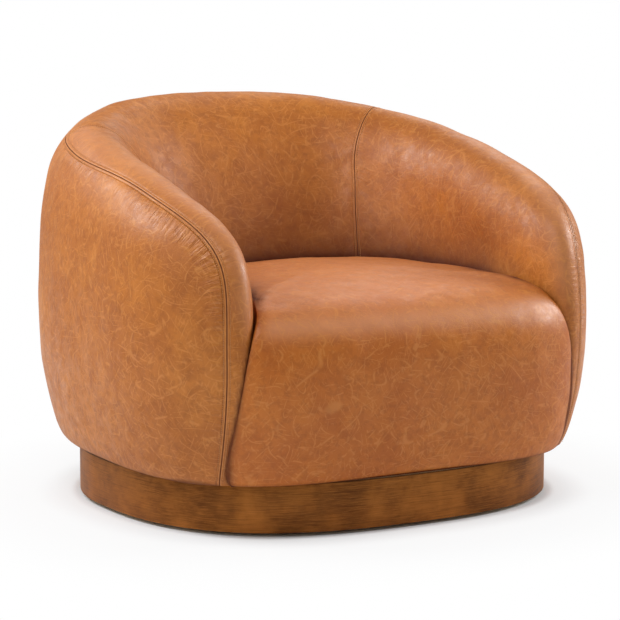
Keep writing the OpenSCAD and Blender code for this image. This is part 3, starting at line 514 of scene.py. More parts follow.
def lie_of(p, near, seed, high=.9, long=150, low=.35, short=60):
    """How far a panel stands off its foam: its seam's profile, and slow waves clear of the seam."""
    wave = high * waves(p, long, seed) + low * waves(p, short, seed + 1)
    return seam_profile(near) + wave * smooth_step(near, 0, 26)


def foot_shade(p):
    """Painted shadow: the turned lower edge is darkened just above the plinth."""
    return .9 * np.exp(-np.maximum(0, p[..., 2] - FOOT) / 1.6)


def as_mesh(name, bm):
    mesh = bpy.data.meshes.new(name)
    bm.to_mesh(mesh)
    bm.free()
    return mesh


def placed(name, mesh):
    """Stands a mesh in the scene as a piece, at the origin."""
    piece = bpy.data.objects.new(name, mesh)
    scene.collection.objects.link(piece)
    return piece


def rows_on(k, y):
    """Where distances y lie on the outer face, measured afresh for each station of the column k."""
    dense = np.linspace(-1, 0, 400)
    step = walked(shell_point(k, dense[None]), 1)
    return np.array([np.interp(a, b - b[-1], dense) for a, b in zip(y + seam_shift(k, y), step)])


def normals_at(k, y):
    """Which way the shell faces, outwards."""
    y = np.clip(y, np.interp(k, table_k, foot_mm) + 2, np.interp(k, table_k, deck_mm) - 2)
    return unit(np.cross(at(k + .001, y) - at(k - .001, y), at(k, y + .8) - at(k, y - .8)))


def grid_mesh(name, p, n, wrap=False, **values):
    """A grid whose points are moved to p, in millimetres from the shell's middle line, facing n."""
    rows, m = p.shape[:2]
    bm = bmesh.new()
    bmesh.ops.create_grid(bm, x_segments=rows - 1, y_segments=m - 1, size=.5)
    mesh = bpy.data.meshes.new(name)
    bm.to_mesh(mesh)
    flat = np.zeros(len(mesh.vertices) * 3)
    mesh.vertices.foreach_get("co", flat)
    flat = flat.reshape(-1, 3)
    flat = (flat - flat.min(0)) / np.maximum(np.ptp(flat, axis=0), 1e-9)
    i, j = np.rint(flat[:, 0] * (rows - 1)).astype(int), np.rint(flat[:, 1] * (m - 1)).astype(int)
    mesh.vertices.foreach_set("co", (p[i, j] * .001 + (0, SHELL_Y, 0)).ravel())
    for key, value in values.items():
        value = np.broadcast_to(value, (rows, m))[i, j] * (.001 if key in ("seam", "along") else 1)
        mesh.attributes.new(key, "FLOAT", "POINT").data.foreach_set("value", value.astype(np.float32))
    bm.clear()
    bm.from_mesh(mesh)
    if (np.cross(np.gradient(p, axis=0), np.gradient(p, axis=1)) * n).sum() < 0:
        bmesh.ops.reverse_faces(bm, faces=bm.faces)
    if wrap:
        bmesh.ops.remove_doubles(bm, verts=bm.verts, dist=1e-7)
    for face in bm.faces:
        face.smooth = True
    bm.to_mesh(mesh)
    bm.free()
    return placed(name, mesh)


def finish_panel(piece, node, material):
    skin = piece.modifiers.new("hide", "SOLIDIFY")
    skin.thickness, skin.offset = LEATHER, -1
    piece.data.materials.append(material)
    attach(piece, "chair")
    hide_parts(node)


print("welt beside a seam, mm:", seam_profile(np.array([0, 1, 3.4, 6.3, 12.])).round(2))

# %% [markdown]
# Three outer panels wrap the belly: one on each side and one across the back. They are sewn to
# each other behind the arms, and to the rolled panels along the top. Their lower edge turns under
# just above the plinth.

# %% Outer panels
SIDE_SEAM = 24 / 30     # station of the upright seams behind the arms


def tucked(p, n, share=1, height=30):
    """The lower edge turns in towards the plinth, level, without being drawn up."""
    low = np.clip((FOOT + height - p[..., 2]) / height, 0, 1)
    return p - unit(n * (1, 1, 1e-6)) * ((3.5 * low ** 2 + 2.5 * low ** 8) * share)[..., None]


def sunk_edges(p, n, *edges):
    """Drops a panel's sewn edges into the groove."""
    for where in edges:
        p[where] = p[where] - n[where] * GROOVE
    return p


def outer_panel(name, start, end, fine_start, seed):
    wide = abs(end - start) / float(per_mm((start + end) / 2, -200.))
    x = spaced(wide, 7.5, fine_start, WELT_ROWS)
    k = (start + (end - start) * x / wide)[:, None]
    reach = -np.interp(k[:, 0], table_k, foot_mm) - 1
    y = -np.array([np.concatenate([WELT_ROWS, np.linspace(WELT_ROWS[-1], r - HEM_ROWS[-1], 86)[1:-1],
                                   r - HEM_ROWS[::-1]]) for r in reach])
    v = rows_on(k, y)
    v[:, -1] = -1
    p, n = shell_point(k, v), normals_at(k + 0 * y, y)
    k = k + 0 * y
    sewn = fine_start is WELT_ROWS
    side = np.minimum(wide - x, x if sewn else wide)[:, None]
    near = np.minimum(-y, side)
    along = np.where(near < side, k * HALF_RUN, -y)
    lift = lie_of(p, near, seed) * (.3 + .7 * (1 - smooth_step(-y, reach[:, None] - 90, reach[:, None] - 12)))
    p = sunk_edges(p + n * lift[..., None], n, np.s_[:, 0], np.s_[-1], *([np.s_[0]] if sewn else []))
    p[:, -1, 2] = FOOT + CLEAR
    if not sewn:
        p[0, :, 2] = FOOT + CLEAR
    p = tucked(p, n)
    return grid_mesh(name, p, n, seam=near, along=along, pull=smooth_step(np.abs(y + side), 2, 26),
                     shade=foot_shade(p))


left_outer = outer_panel("outer_leather_left", 1.9995, 2 - SIDE_SEAM, HEM_ROWS, 11)
right_outer = outer_panel("outer_leather_right", .0005, SIDE_SEAM, HEM_ROWS, 21)
back_outer = outer_panel("outer_leather_back", SIDE_SEAM, 2 - SIDE_SEAM, WELT_ROWS, 31)
finish_panel(left_outer, "outer_panel_left", shell_leather)
finish_panel(right_outer, "outer_panel_right", shell_leather)
finish_panel(back_outer, "outer_back_panel", shell_leather)

# %% [markdown]
# A strip of the same leather is stapled round the edge of the deck board, so that no bare wood
# shows in the gaps beside the seat. It is a ring of points set on the board's outline and pulled up.

# %% Binding round the deck board
def pulled_strip(name, outline, low, high, thick):
    """A band that stands on an outline given by angle, in metres, from low to high."""
    bm = bmesh.new()
    bmesh.ops.create_circle(bm, segments=360, radius=1)
    for v in bm.verts:
        t = math.atan2(v.co.x, v.co.y)
        v.co = (*outline(t), low)
    up = bmesh.ops.extrude_edge_only(bm, edges=bm.edges)["geom"]
    raised = [g for g in up if isinstance(g, bmesh.types.BMVert)]
    bmesh.ops.translate(bm, verts=raised, vec=(0, 0, high - low))
    bmesh.ops.recalc_face_normals(bm, faces=bm.faces)
    if sum(f.normal.dot(f.calc_center_median() * Vector((1, 1, 0))) for f in bm.faces) < 0:
        bmesh.ops.reverse_faces(bm, faces=bm.faces)
    for face in bm.faces:
        face.smooth = True
    piece = placed(name, as_mesh(name, bm))
    wall = piece.modifiers.new("thickness", "SOLIDIFY")
    wall.thickness, wall.offset = thick, -1
    return piece


BOARD_SET = 9.4                         # how far the board lies in from the shell's foot, in millimetres
BINDING, BINDING_SET = .0012, .0003     # thickness, and how far it stays off the board's faces, in metres


def board_outline(t):
    x, y, _ = outer_face(np.degrees(t), FOOT, BOARD_SET) * .001
    return x, y + SHELL_Y


deck_low, deck_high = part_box("deck_board")
binding = pulled_strip("deck_binding", board_outline, deck_low.z + BINDING_SET, deck_high.z - BINDING_SET,
                       BINDING)
binding.data.materials.append(shell_leather)
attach(binding, "chair")
print("binding", len(binding.data.polygons), "faces")

# %% [markdown]
# Each arm has one long panel that rolls over the top and falls inside to the seat. Its seam runs
# up the arm's front, along the top, turns on a small radius behind the arm and comes down inside
# the back. A square grid with that corner rounded keeps rows beside the whole seam.

# %% The seam down the inside of the back
CORNER = 46             # radius on which the seam turns
DENSE_Y = np.arange(-40, 841, 5.)
cross_y = np.array([0, 36, 62, 100, 143, 210, 281, 338, 375, 430])
cross_left = np.array([.735, .70, .682, .668, .672, .6865, .6875, .6825, .6775, .672])
cross_right = np.array([.742, .742, .735, .718, .7025, .6885, .6875, .6825, .6775, .672])
ease = np.exp(-np.linspace(-2, 2, 17) ** 2)
ease /= ease.sum()


def cross_seam(y, left):
    """Its station at a distance y from the top seam, eased into a flowing line."""
    dense = np.interp(DENSE_Y, cross_y, cross_left if left else cross_right)
    return np.interp(y, DENSE_Y, np.convolve(np.pad(dense, 8, "edge"), ease, "valid"))


def rounded(x, y):
    """Moves a square corner's rows onto arcs that run beside the rounded seam."""
    m, p = np.minimum(x, y), np.abs(x - y)
    inside = (m < CORNER) & (np.maximum(x, y) < CORNER)
    turn = np.pi / 4 * np.clip(p / np.maximum(CORNER - m, 1e-6), 0, 1) * np.sign(x - y)
    a = np.pi * 1.25 + turn
    r = CORNER - m
    return np.where(inside, CORNER + r * np.cos(a), x), np.where(inside, CORNER + r * np.sin(a), y)


def arm_station(x, y, left, total):
    """The station x millimetres in front of the inside seam."""
    seam = cross_seam(y, left)
    w = smooth_step(x, 40, 260)
    k = seam - per_mm(seam, y) * x * (1 - w) - (seam - .0005) * x / total * w
    return np.clip(k, .0005, 1)


turned_x, turned_y = rounded(np.array([0., 0, 20]), np.array([0., CORNER, 20]))
print("the corner goes to", turned_x.round(1), turned_y.round(1))

# %% Arm panels
def painted_bowl_shade(p):
    """How far down inside the bowl a point is, as painted shade there: darkest low down by the seat."""
    inside = smooth_step(FRONT - 110 + p[..., 1], 0, 170) * smooth_step(340 - np.abs(p[..., 0]), 0, 60)
    above = np.maximum(0, p[..., 2] - SEAT_EDGE)
    return inside * (.75 * np.exp(-above / 70) + .2 * np.exp(-above / 9))


def arm_panel(name, left, seed):
    total = float(cross_seam(0., left) / per_mm(np.array(.4), np.array(40.)))
    x = spaced(total, 6, WELT_ROWS, HEM_ROWS)[:, None]
    about = arm_station(x, 300. + 0 * x, left, total)
    reach = np.interp(about[:, 0], table_k, deck_mm)
    y = np.array([np.concatenate([WELT_ROWS, np.linspace(WELT_ROWS[-1], r, 84)[1:]]) for r in reach])
    x = x + 0 * y
    rx, ry = rounded(x, y)
    k = arm_station(rx, ry, left, total)
    side = 2 - k if left else k
    p, n = at(side, ry), normals_at(side, ry)
    near = np.minimum(x, y)
    along = np.where(y < x, k * HALF_RUN, y)
    level = p[-1, :, 2] + CLEAR
    lift = lie_of(p, near, seed, .8, 140, .3, 55) * (.3 + .7 * smooth_step(total - x, 12, 90))
    p = sunk_edges(p + n * lift[..., None], n, np.s_[:, 0], np.s_[0])
    p[-1, :, 2] = level
    turned_in = tucked(p, n[:, :1], (1 + .4 * smooth_step(y, 2, 12)) * (1 - smooth_step(y, 30, 60)))
    # A paler band along the arm's roll: a painted highlight, with some rubbed wear.
    worn = 1.4 * np.exp(-((y - 36) / 24) ** 2) * smooth_step(p[..., 2], 330, 420)
    return grid_mesh(name, turned_in, n, seam=near, along=along, pull=.45, shade=painted_bowl_shade(p), worn=worn), total


left_arm, left_total = arm_panel("arm_leather_left", True, 41)
right_arm, right_total = arm_panel("arm_leather_right", False, 51)
finish_panel(left_arm, "arm_panel_left", shell_leather)
finish_panel(right_arm, "arm_panel_right", shell_leather)

# %% [markdown]
# The inside back fills what the two arm panels leave: it runs over the top of the back and ends in
# a thin tongue between the arm's rounded seam and the outer leather.

# %% Inside back panel
def back_station(x, y, left):
    """The station x millimetres behind one inside seam, beside its rounded corner too."""
    seam = cross_seam(y, left)
    low = np.clip(CORNER - y, 0, CORNER)
    x = np.sqrt(np.maximum((CORNER + x) ** 2 - low ** 2, 0)) - CORNER
    return seam + per_mm(seam, y) * x


level = at(np.linspace(cross_seam(200., False), 2 - cross_seam(200., True), 200), 200.)
back_wide = walked(level, 0)[-1]
x = spaced(back_wide, 6, WELT_ROWS, WELT_ROWS)[:, None]
right_k = back_station(x, 300. + 0 * x, False)
left_k = 2 - back_station(back_wide - x, 300. + 0 * x, True)
share = smooth_step(x, back_wide * .15, back_wide * .85)
reach = np.interp((right_k * (1 - share) + left_k * share)[:, 0], table_k, deck_mm)
y = np.array([np.concatenate([WELT_ROWS, np.linspace(WELT_ROWS[-1], r, 110)[1:]]) for r in reach])
x, share = x + 0 * y, share + 0 * y
k = back_station(x, y, False) * (1 - share) + (2 - back_station(back_wide - x, y, True)) * share
p, n = at(k, y), normals_at(k, y)
side = np.minimum(x, back_wide - x)
near = np.minimum(side, y)
p = sunk_edges(p + n * lie_of(p, near, 61)[..., None], n, np.s_[:, 0], np.s_[0], np.s_[-1])
inside_back = grid_mesh("inside_back_leather", p, n, seam=near, along=np.where(side < y, y, k * HALF_RUN),
                        pull=.3, shade=painted_bowl_shade(p))
finish_panel(inside_back, "inside_back_panel", shell_leather)

# %% [markdown]
# The seat is one upholstered block that fills the space between the arms. Its front follows the
# shell's outline, rolls back over a big soft edge, and the top is crowned. Its sides turn down
# into the crevice beside the arms. It is built as rings from the foot up to the middle of the top.

# %% Where the seat meets the arms
def arm_edge(z):
    w = np.clip((z - FOOT) / (ARM_SEAM - FOOT), 0, 1)
    sweep = SWEEP * (np.maximum(0, SWEEP_H - z) / (SWEEP_H - FOOT)) ** 2
    return ARM_TURN * (1 - w ** EDGE_POWER) ** (1 / EDGE_POWER) - sweep


def arm_front(z, share, gap):
    """A level line round the arm's rolled front, moved towards the seat by a gap."""
    z, share, gap = np.broadcast_arrays(np.asarray(z, float), share, gap)
    t = arm_edge(z) + gap / DEGREE
    start = outer_face(t, z)
    leave = unit(start - outer_face(t - 2 / DEGREE, z))
    q = t - ROLL_DEEP / DEGREE
    end = inner_face(q, z, -gap)
    arrive = unit(inner_face(q - 2 / DEGREE, z, -gap) - end)
    return rolled(share[..., None], start, leave, end, arrive)


SEAT_SET, ARM_GAP, BOWL_GAP, SEAT_MID = 6, 6.5, 3, -80
levels = np.linspace(FOOT, 420, 120)
shares = np.linspace(0, .4, 17)
band = arm_front(levels[:, None], shares[None], ARM_GAP)
shell_there = outer_face(np.degrees(np.arctan2(band[..., 0], band[..., 1])), band[..., 2])
inset = np.linalg.norm(shell_there[..., :2], axis=-1) - np.linalg.norm(band[..., :2], axis=-1)
height_share = ((np.minimum(levels, SEAT_EDGE) - FOOT) / (SEAT_EDGE - FOOT)) ** 3
meet_at = np.maximum(.05 + .27 * height_share, [np.interp(SEAT_SET, row, shares) for row in inset])
lap_at = np.minimum(meet_at, np.interp(levels, [91, 98, 118, 168, 217, 266, 306, 345, 372, 400],
                                       [.05, .02, -.01, .01, .05, .1, .145, .235, .34, .6]))
print("share of the arm's roll where the seat's foam meets it, low to high:", meet_at[[0, 60, 110]].round(3))
print("and where the seat's leather does:", lap_at[[0, 60, 110]].round(3))

# %% The seat's rings
FRONT_END, NOSE_START, NOSE_END = .94, .1, .96      # shares at which the front and the side give way
EDGE_DROP, FRONT_DROP, EDGE_RUN = 24, 62, 104       # the round top edge: drop, more of it in front, run
SIDE_ROUND, SIDE_LAP = 16, 190                      # how the edge draws in from the arms and round them
SIDE_FOOT = 286                                     # where the seat ends below, between the arms
HEM_SHARES = [0, .003, .007, .013, .022]            # finer rows where the lower edge turns in
PROUD_H, PROUD = [91, 120, 168, 217, 266, 310, 345], [10, 10, 9.5, 8, 5, 1.8, 0]
CROWN_SHARE = .86                                   # share of the way in at which the crown is full


def eased(a, passes, share):
    """Smooths the inner points along a's first axis in place, each by its share."""
    for _ in range(passes):
        moved = a[1:-1] * .5 + a[:-2] * .25 + a[2:] * .25
        a[1:-1] += (moved - a[1:-1]) * share[:, None, None]


def seat_rings(deep=0, side_more=0, foot=FOOT, counts=(54, 14, 24, 46), rows=(36, 24, 34)):
    """The seat's grid: columns round it, by front, corner, nose and bowl, and rows up and over it."""
    fronts, corners, noses, bowls = counts
    part = np.repeat(["front", "corner", "nose", "bowl"], counts)[:, None]
    u = np.concatenate([FRONT_END * (1 - (1 - np.linspace(0, 1, fronts)) ** 1.25),
                        np.linspace(0, 1, corners + 2)[1:-1],
                        NOSE_START + (1 - NOSE_START) * np.linspace(0, 1, noses) ** 1.2,
                        np.linspace(0, 1, bowls + 1)[1:]])[:, None]
    forward, nosing = (part == "front") | (part == "corner"), part == "nose"
    w = np.where(forward, 1, np.where(nosing, 1 - smooth_step(u, NOSE_START, .95), 0))
    drop = EDGE_DROP + FRONT_DROP * w - deep
    start = SEAT_EDGE - deep - drop
    inner_foot = max(foot, SIDE_FOOT)
    stepped_foot = foot + (inner_foot - foot) * smooth_step(u, NOSE_START, .3)
    low = np.where(forward, foot, np.where(nosing, stepped_foot, inner_foot))
    f = np.linspace(0, 1, rows[0] + 1)[None, :-1]
    if foot == FOOT:
        f = np.concatenate([[HEM_SHARES], .035 + .965 * np.linspace(0, 1, rows[0] - 4)[None, :-1]], 1)
    a = np.pi / 2 * np.linspace(0, 1, rows[1] + 1)[None]
    z = np.concatenate([low + (start - low) * f, start + drop * np.sin(a)], 1)
    m = np.concatenate([0 * z[:, :f.shape[1]], EDGE_RUN * (1 - np.cos(a)) + 0 * start], 1)
    side = side_more + m / EDGE_RUN * SIDE_ROUND * (1 - w)
    k = np.interp(z, levels, meet_at if deep else lap_at)
    k = k + (1 - k) * np.minimum(.9, m / SIDE_LAP)
    side_gap = ARM_GAP if deep else 2.5 + (ARM_GAP - 2.5) * smooth_step(z, 300, 390)
    proud = 0 if deep else np.interp(z, PROUD_H, PROUD)
    corner = arm_front(z, k, side_gap + deep)
    corner_t = np.degrees(np.arctan2(corner[..., 0], corner[..., 1] - m))

    def front(u):
        inset = SEAT_SET + deep - proud * smooth_step(u, .3, FRONT_END)
        p, q = outer_face(180 + (corner_t - 180) * u, z, inset), outer_face(corner_t, z, inset)
        x = p[..., 0] + (corner[..., 0] - q[..., 0]) * u ** 6
        return np.stack([x, p[..., 1] + m + (corner[..., 1] - m - q[..., 1]) * u ** 6, z], -1)

    def nose(u):
        gap = side_gap + (BOWL_GAP - side_gap) * u + deep + side
        return arm_front(z, k + (NOSE_END - k) * u, gap)

    last, first = front(FRONT_END + 0 * u), nose(NOSE_START + 0 * u)
    b = u[..., None]
    turned = (1 - b) ** 2 * last + 2 * b * (1 - b) * corner + b * b * first
    bowl = inner_face((arm_edge(z) - ROLL_DEEP / DEGREE) * (1 - u), z, -BOWL_GAP - deep - side)
    ring = np.select([(part == name)[..., None] for name in ("front", "corner", "nose")],
                     [front(u), turned, nose(u)], bowl)
    rim = ring[:, -1:]
    f = np.linspace(0, .985, rows[2] + 1)[None, 1:, None]
    rise = (14 if deep else 18) * np.sin(np.pi / 2 * np.minimum(1, f / CROWN_SHARE))
    crown = np.concatenate([rim[..., :1] * (1 - f), rim[..., 1:2] + (SEAT_MID - rim[..., 1:2]) * f,
                            rim[..., 2:] + rise], -1)
    half = np.concatenate([ring, crown], 1)
    # The rows are eased from the edge on, then the columns round the bowl.
    row, column = np.arange(1, half.shape[1] - 1), np.arange(1, len(half) - 1)
    eased(half.swapaxes(0, 1), 26, smooth_step(row, rows[0] - 6, rows[0] + 2))
    eased(half, 60, smooth_step(column, 70, 86))
    # Beside the arms the edge is filled a little, and before the arms' fronts its crown is lower.
    x, y, z = half[..., 0], half[..., 1], half[..., 2]
    fuller = 4.8 * np.exp(-((y + 185) / 62) ** 2) - 2 * np.exp(-((y + 318) / 34) ** 2)
    half[..., 2] += fuller * smooth_step(np.abs(x), 165, 240) * smooth_step(z + deep, 380, 398)
    other = half[-2:0:-1] * (-1, 1, 1)
    return np.concatenate([half, other, half[:1]])


def ring_normals(p):
    along = np.roll(p[:-1], -1, 0) - np.roll(p[:-1], 1, 0)
    n = unit(np.cross(along, np.gradient(p[:-1], axis=1)) + 1e-12)
    n *= np.sign(n[:, -8:, 2].sum())
    return np.concatenate([n, n[:1]])


def closed_rings(name, p, n, floor=False, **values):
    piece = grid_mesh(name, p, n, wrap=True, **values)
    bm = bmesh.new()
    bm.from_mesh(piece.data)
    edges = [e for e in bm.edges if e.is_boundary]
    top = max(v.co.z for e in edges for v in e.verts)
    bmesh.ops.holes_fill(bm, edges=[e for e in edges if floor or e.verts[0].co.z > top - .004], sides=0)
    if floor:
        bmesh.ops.recalc_face_normals(bm, faces=bm.faces)
    bm.to_mesh(piece.data)
    bm.free()
    return piece


CORNER_COLUMN, EDGE_ROW, RIM_ROW = 58, 50, 60
p = seat_rings()
n = ring_normals(p)
lift = (1.1 * waves(p, 170, 71) + .5 * waves(p, 70, 72)) * smooth_step(p[..., 2], FOOT, FOOT + 60)
p = p + n * lift[..., None]
p[:, 0, 2] = np.maximum(p[:, 0, 2], FOOT + CLEAR)
shift = tucked(p, n) - p
for i in range(CORNER_COLUMN + 1, 70):      # the rest of the corner turns in as this column does
    shift[i], shift[-1 - i] = shift[CORNER_COLUMN], shift[-1 - CORNER_COLUMN]
p = p + shift
climb = walked(p, 1)
from_rim = np.abs(climb - climb[:, RIM_ROW, None])
round_it = walked(p[:, EDGE_ROW], 0)[:, None] + 0 * climb
column = np.minimum(np.arange(len(p)), len(p) - 1 - np.arange(len(p)))[:, None]
beside_arm = smooth_step(column, 50, 62) * (1 - smooth_step(column, 84, 100))
pull = 1.3 * beside_arm * smooth_step(climb - climb[:, EDGE_ROW, None], 0, 20)
# Painted shade: dark at the turned foot, beside the arms near the rim, and in a line where the seat's edge
# meets the arms.
shade = (foot_shade(p) + .62 * beside_arm * np.exp(-(from_rim / 46) ** 2)
         + .3 * np.exp(-from_rim / 9) * smooth_step(column, 50, 60))
# Paler over the top and in a band along the front roll: a painted highlight, with some rubbed wear.
worn = (smooth_step(p[..., 2], 372, 402) * (1 - .6 * beside_arm * np.exp(-from_rim / 40))
        + 1.9 * np.exp(-((p[..., 2] - 360) / 19) ** 2) * (1 - smooth_step(column, 48, 60)))
seat = closed_rings("seat_leather", p, n, seam=8 + from_rim, along=round_it, pull=pull, shade=shade,
                    worn=worn)
finish_panel(seat, "seat_cover", seat_leather)


CREVICE, CREVICE_DARK = .0022, .8


def darken_beside(piece, other):
    """Painted shade where two covers lie against each other."""
    tree = BVHTree.FromPolygons([v.co for v in other.data.vertices],
                                [f.vertices for f in other.data.polygons])
    shade = piece.data.attributes["shade"].data
    for v, s in zip(piece.data.vertices, shade):
        apart = tree.find_nearest(v.co, .02)[3]
        if apart is not None:
            s.value = min(1, s.value + CREVICE_DARK * math.exp(-max(0, apart - CREVICE) / CREVICE))


for panel in (left_arm, right_arm):
    darken_beside(panel, seat)
    darken_beside(seat, panel)

# %% [markdown]
# Under the leather lie blocks of foam. They never show in the photograph, but a buyer who lifts a
# panel finds them, so each gets its own closed piece with the fine open cells of cut foam.

# %% Foam
def foam_look():
    m = Recipe("cut_foam")
    cells = m.feed(m.add("TexVoronoi"), Vector=m.place, Scale=700).outputs["Distance"]
    tint = m.blend(m.between(m.noise(20, 3), .3, .7), rgb(222, 214, 186), rgb(234, 228, 204))
    m.feed(m.shader, Base_Color=m.blend(m.between(cells, .1, .5, .35, 0), tint, rgb(176, 166, 136)),
           Roughness=m.between(m.noise(90), 0, 1, .85, .97), Normal=m.bump(cells, .0004, .6))
    return m.material


def thick_piece(name, face, back):
    """Closes two grids of the same size into one solid."""
    bm = bmesh.new()
    for p in (face, back):
        part = grid_mesh(name, p, np.cross(np.gradient(p, axis=0), np.gradient(p, axis=1)))
        bm.from_mesh(part.data)
        bpy.data.objects.remove(part)
    bmesh.ops.bridge_loops(bm, edges=[e for e in bm.edges if e.is_boundary])
    bmesh.ops.recalc_face_normals(bm, faces=bm.faces)
    return placed(name, as_mesh(name, bm))


def finish_foam(piece, node):
    piece.data.materials.append(foam)
    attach(piece, "chair")
    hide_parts(node)
    print(piece.name, len(piece.data.polygons), "faces")


foam = foam_look()
FOAM_JOINT = 22 / 30    # station where the arms' foam meets the back's
FOAM_OUTSIDE, FOAM_INSIDE = 3.2, 30.4       # how deep its two faces lie under the leather
SEAT_FOAM_DEEP, SEAT_FOAM_FOOT = 4.2, 291
APRON_TOP, APRON_DEEP, APRON_BACK = 289.4, 3.4, -322.6
for name, node, start, end in (("arm_foam_right_pad", "arm_foam_right", .0005, FOAM_JOINT - .0004),
                               ("back_foam_pad", "back_foam", FOAM_JOINT + .0004, 2 - FOAM_JOINT - .0004),
                               ("arm_foam_left_pad", "arm_foam_left", 2 - FOAM_JOINT + .0004, 1.9995)):
    k = np.linspace(start, end, 110)[:, None]
    v = np.concatenate([np.linspace(-1, 0, 24)[:-1], np.linspace(0, 1, 26)[:-1], np.linspace(1, 2, 20)])[None]
    layers = [shell_point(k, v, deep) for deep in (FOAM_OUTSIDE, FOAM_INSIDE)]
    for layer in layers:
        layer[..., 2] = np.maximum(layer[..., 2], DECK + CLEAR)
    finish_foam(thick_piece(name, *layers), node)

p = seat_rings(SEAT_FOAM_DEEP, 1.6, SEAT_FOAM_FOOT, counts=(30, 8, 14, 26), rows=(3, 14, 14))
finish_foam(closed_rings("seat_foam_pad", p, ring_normals(p), floor=True), "seat_foam")

u, z = np.linspace(-.93, .93, 60)[:, None], np.linspace(DECK + CLEAR, APRON_TOP, 20)[None]
meet = arm_front(z, np.interp(z, levels, meet_at), ARM_GAP + APRON_DEEP)
angle = np.degrees(np.arctan2(meet[..., 0], meet[..., 1]))
face = outer_face(180 - (180 - angle) * u, z + 0 * u, SEAT_SET + APRON_DEEP)
back = face * (.96, 1, 1)
back[..., 1] = APRON_BACK
finish_foam(thick_piece("front_foam_pad", face, back), "front_foam")

# %% [markdown]
# Lines of stitches run a few millimetres off the seams, with a stitch every 3.8 mm: on both sides
# of the seams along the arms and down the inside of the back, and below the one across the back.
# A stitch is a short bead of thread laid along the crease. One is made and set down again and
# again, so that thousands of them stay light.

# %% Stitches
thread_bm = bmesh.new()
bmesh.ops.create_uvsphere(thread_bm, u_segments=6, v_segments=4, radius=.5)
bmesh.ops.transform(thread_bm, matrix=Matrix.Diagonal((.001, .0008, .0028, 1)), verts=thread_bm.verts)
stitch = as_mesh("stitch", thread_bm)
STITCH_SUNK = .1


def sewn_line(bm, p, n):
    """Sets stitches along points p, in millimetres, on a surface that faces n."""
    step = walked(p, 0)
    marks = np.arange(2, step[-1] - 2, STITCH_PITCH)
    where, out = (np.stack([np.interp(marks, step, a[:, i]) for i in range(3)], -1) for a in (p, n))
    ahead = np.stack([np.interp(marks + 1, step, p[:, i]) for i in range(3)], -1) - where
    for w, o, a in zip(where - out * STITCH_SUNK, out, ahead):
        a = Vector(a).normalized()
        side = a.cross(Vector(o)).normalized()
        frame_at = Matrix((side, side.cross(a), a)).transposed().to_4x4()
        frame_at.translation = Vector(w) * .001 + Vector((0, SHELL_Y, 0))
        stitch.transform(frame_at)
        bm.from_mesh(stitch)
        stitch.transform(frame_at.inverted())
    return len(marks)


def sew(name, lines):
    bm = bmesh.new()
    count = sum(sewn_line(bm, p, n) for p, n in lines)
    for face in bm.faces:
        face.smooth = True
    piece = placed(name, as_mesh(name, bm))
    piece.data.materials.append(thread)
    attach(piece, "chair")
    print(name, count, "stitches")


def thread_look():
    m = Recipe("waxed_thread")
    twist = m.noise(1400, 1)
    m.feed(m.shader, Base_Color=m.blend(twist, rgb(214, 146, 84), rgb(240, 178, 116)),
           Roughness=m.between(m.noise(300), 0, 1, .5, .7), Normal=m.bump(twist, .0001, .5))
    return m.material


def outer_line(start, end):
    """Points just below the top seam from one station to another, and the way they face."""
    k = np.linspace(start, end, int(abs(end - start) * 700))
    return at(k, -STITCHED + 0 * k), normals_at(k, -STITCHED + 0 * k)


thread = thread_look()
stops = ((.004, SIDE_SEAM - .006), (SIDE_SEAM + .006, 2 - SIDE_SEAM - .006), (2 - SIDE_SEAM + .006, 1.996))
sew("stitches_outer", [outer_line(start, end) for start, end in stops])
for left, total, name in ((True, left_total, "left"), (False, right_total, "right")):
    # Along the top seam and down the inside one on the arm's panel, then down the back's own edge.
    back = np.arange(total - 12, STITCHED, -3)
    x = np.append(back, np.full(150, STITCHED))
    y = np.append(0 * back + STITCHED, np.linspace(STITCHED, 430, 150))
    rx, ry = rounded(x, y)
    k = arm_station(rx, ry, left, total)
    k = 2 - k if left else k
    y = np.linspace(10, 420, 150)
    b = back_station(STITCHED + 0 * y, y, left)
    b = 2 - b if left else b
    sew("stitches_" + name, [(at(k, ry), normals_at(k, ry)), (at(b, y), normals_at(b, y))])

# %% [markdown]
# The plinth is faced with a strip of metal, brushed along its length and darkened to an old
# bronze. The strip is a circle of points moved onto the plinth's outline, pulled up, and given its
# thickness, with both edges broken by a fine bevel.

# %% Bronze
def bronze_look():
    m = Recipe("brushed_bronze")
    brushed = m.noise(1, 4, .7, m.stretched((34, 34, 1500)))
    long = m.noise(1, 3, .6, m.stretched((11, 11, 560)))
    cloud = m.between(m.noise(9, 4, .6, m.wobbled(7, .05)), .36, .64)
    stain = m.between(m.noise(26, 5, .65, m.wobbled(14, .03)), .4, .66)
    colour = m.blend(cloud, rgb(110, 62, 23), rgb(170, 104, 43))
    colour = m.blend(m.times(stain, .3), colour, rgb(98, 56, 26))
    colour = m.blend(m.times(m.between(brushed, .4, .68), .5), colour, rgb(204, 132, 62))
    colour = m.blend(m.times(m.between(long, .5, .68), .35), colour, rgb(78, 42, 18))
    # Painted shadow: a dark band along the top of the facing, under the leather's edge.
    height = m.feed(m.add("SeparateXYZ"), Vector=m.place).outputs["Z"]
    colour = m.blend(m.between(height, .0872, .0902, 0, .75), colour, rgb(40, 20, 8))
    m.feed(m.shader, Base_Color=colour, Roughness=m.between(brushed, .2, .8, .42, .56),
           Normal=m.bump(brushed, .0001, .4))
    m.shader.inputs["Metallic"].default_value = .85
    m.shader.inputs["Anisotropic"].default_value = .3
    return m.material


PLINTH_Y = SHELL_Y + .030
PLINTH_HALF, PLINTH_FRONT, PLINTH_BACK = 415, 411, 386      # half width and the two depths, in millimetres
PLINTH_FRONT_POWER, PLINTH_BACK_POWER = 2.66, 1.88
FACING, FACING_BREAK = .0015, .0004                         # thickness and bevel, in metres


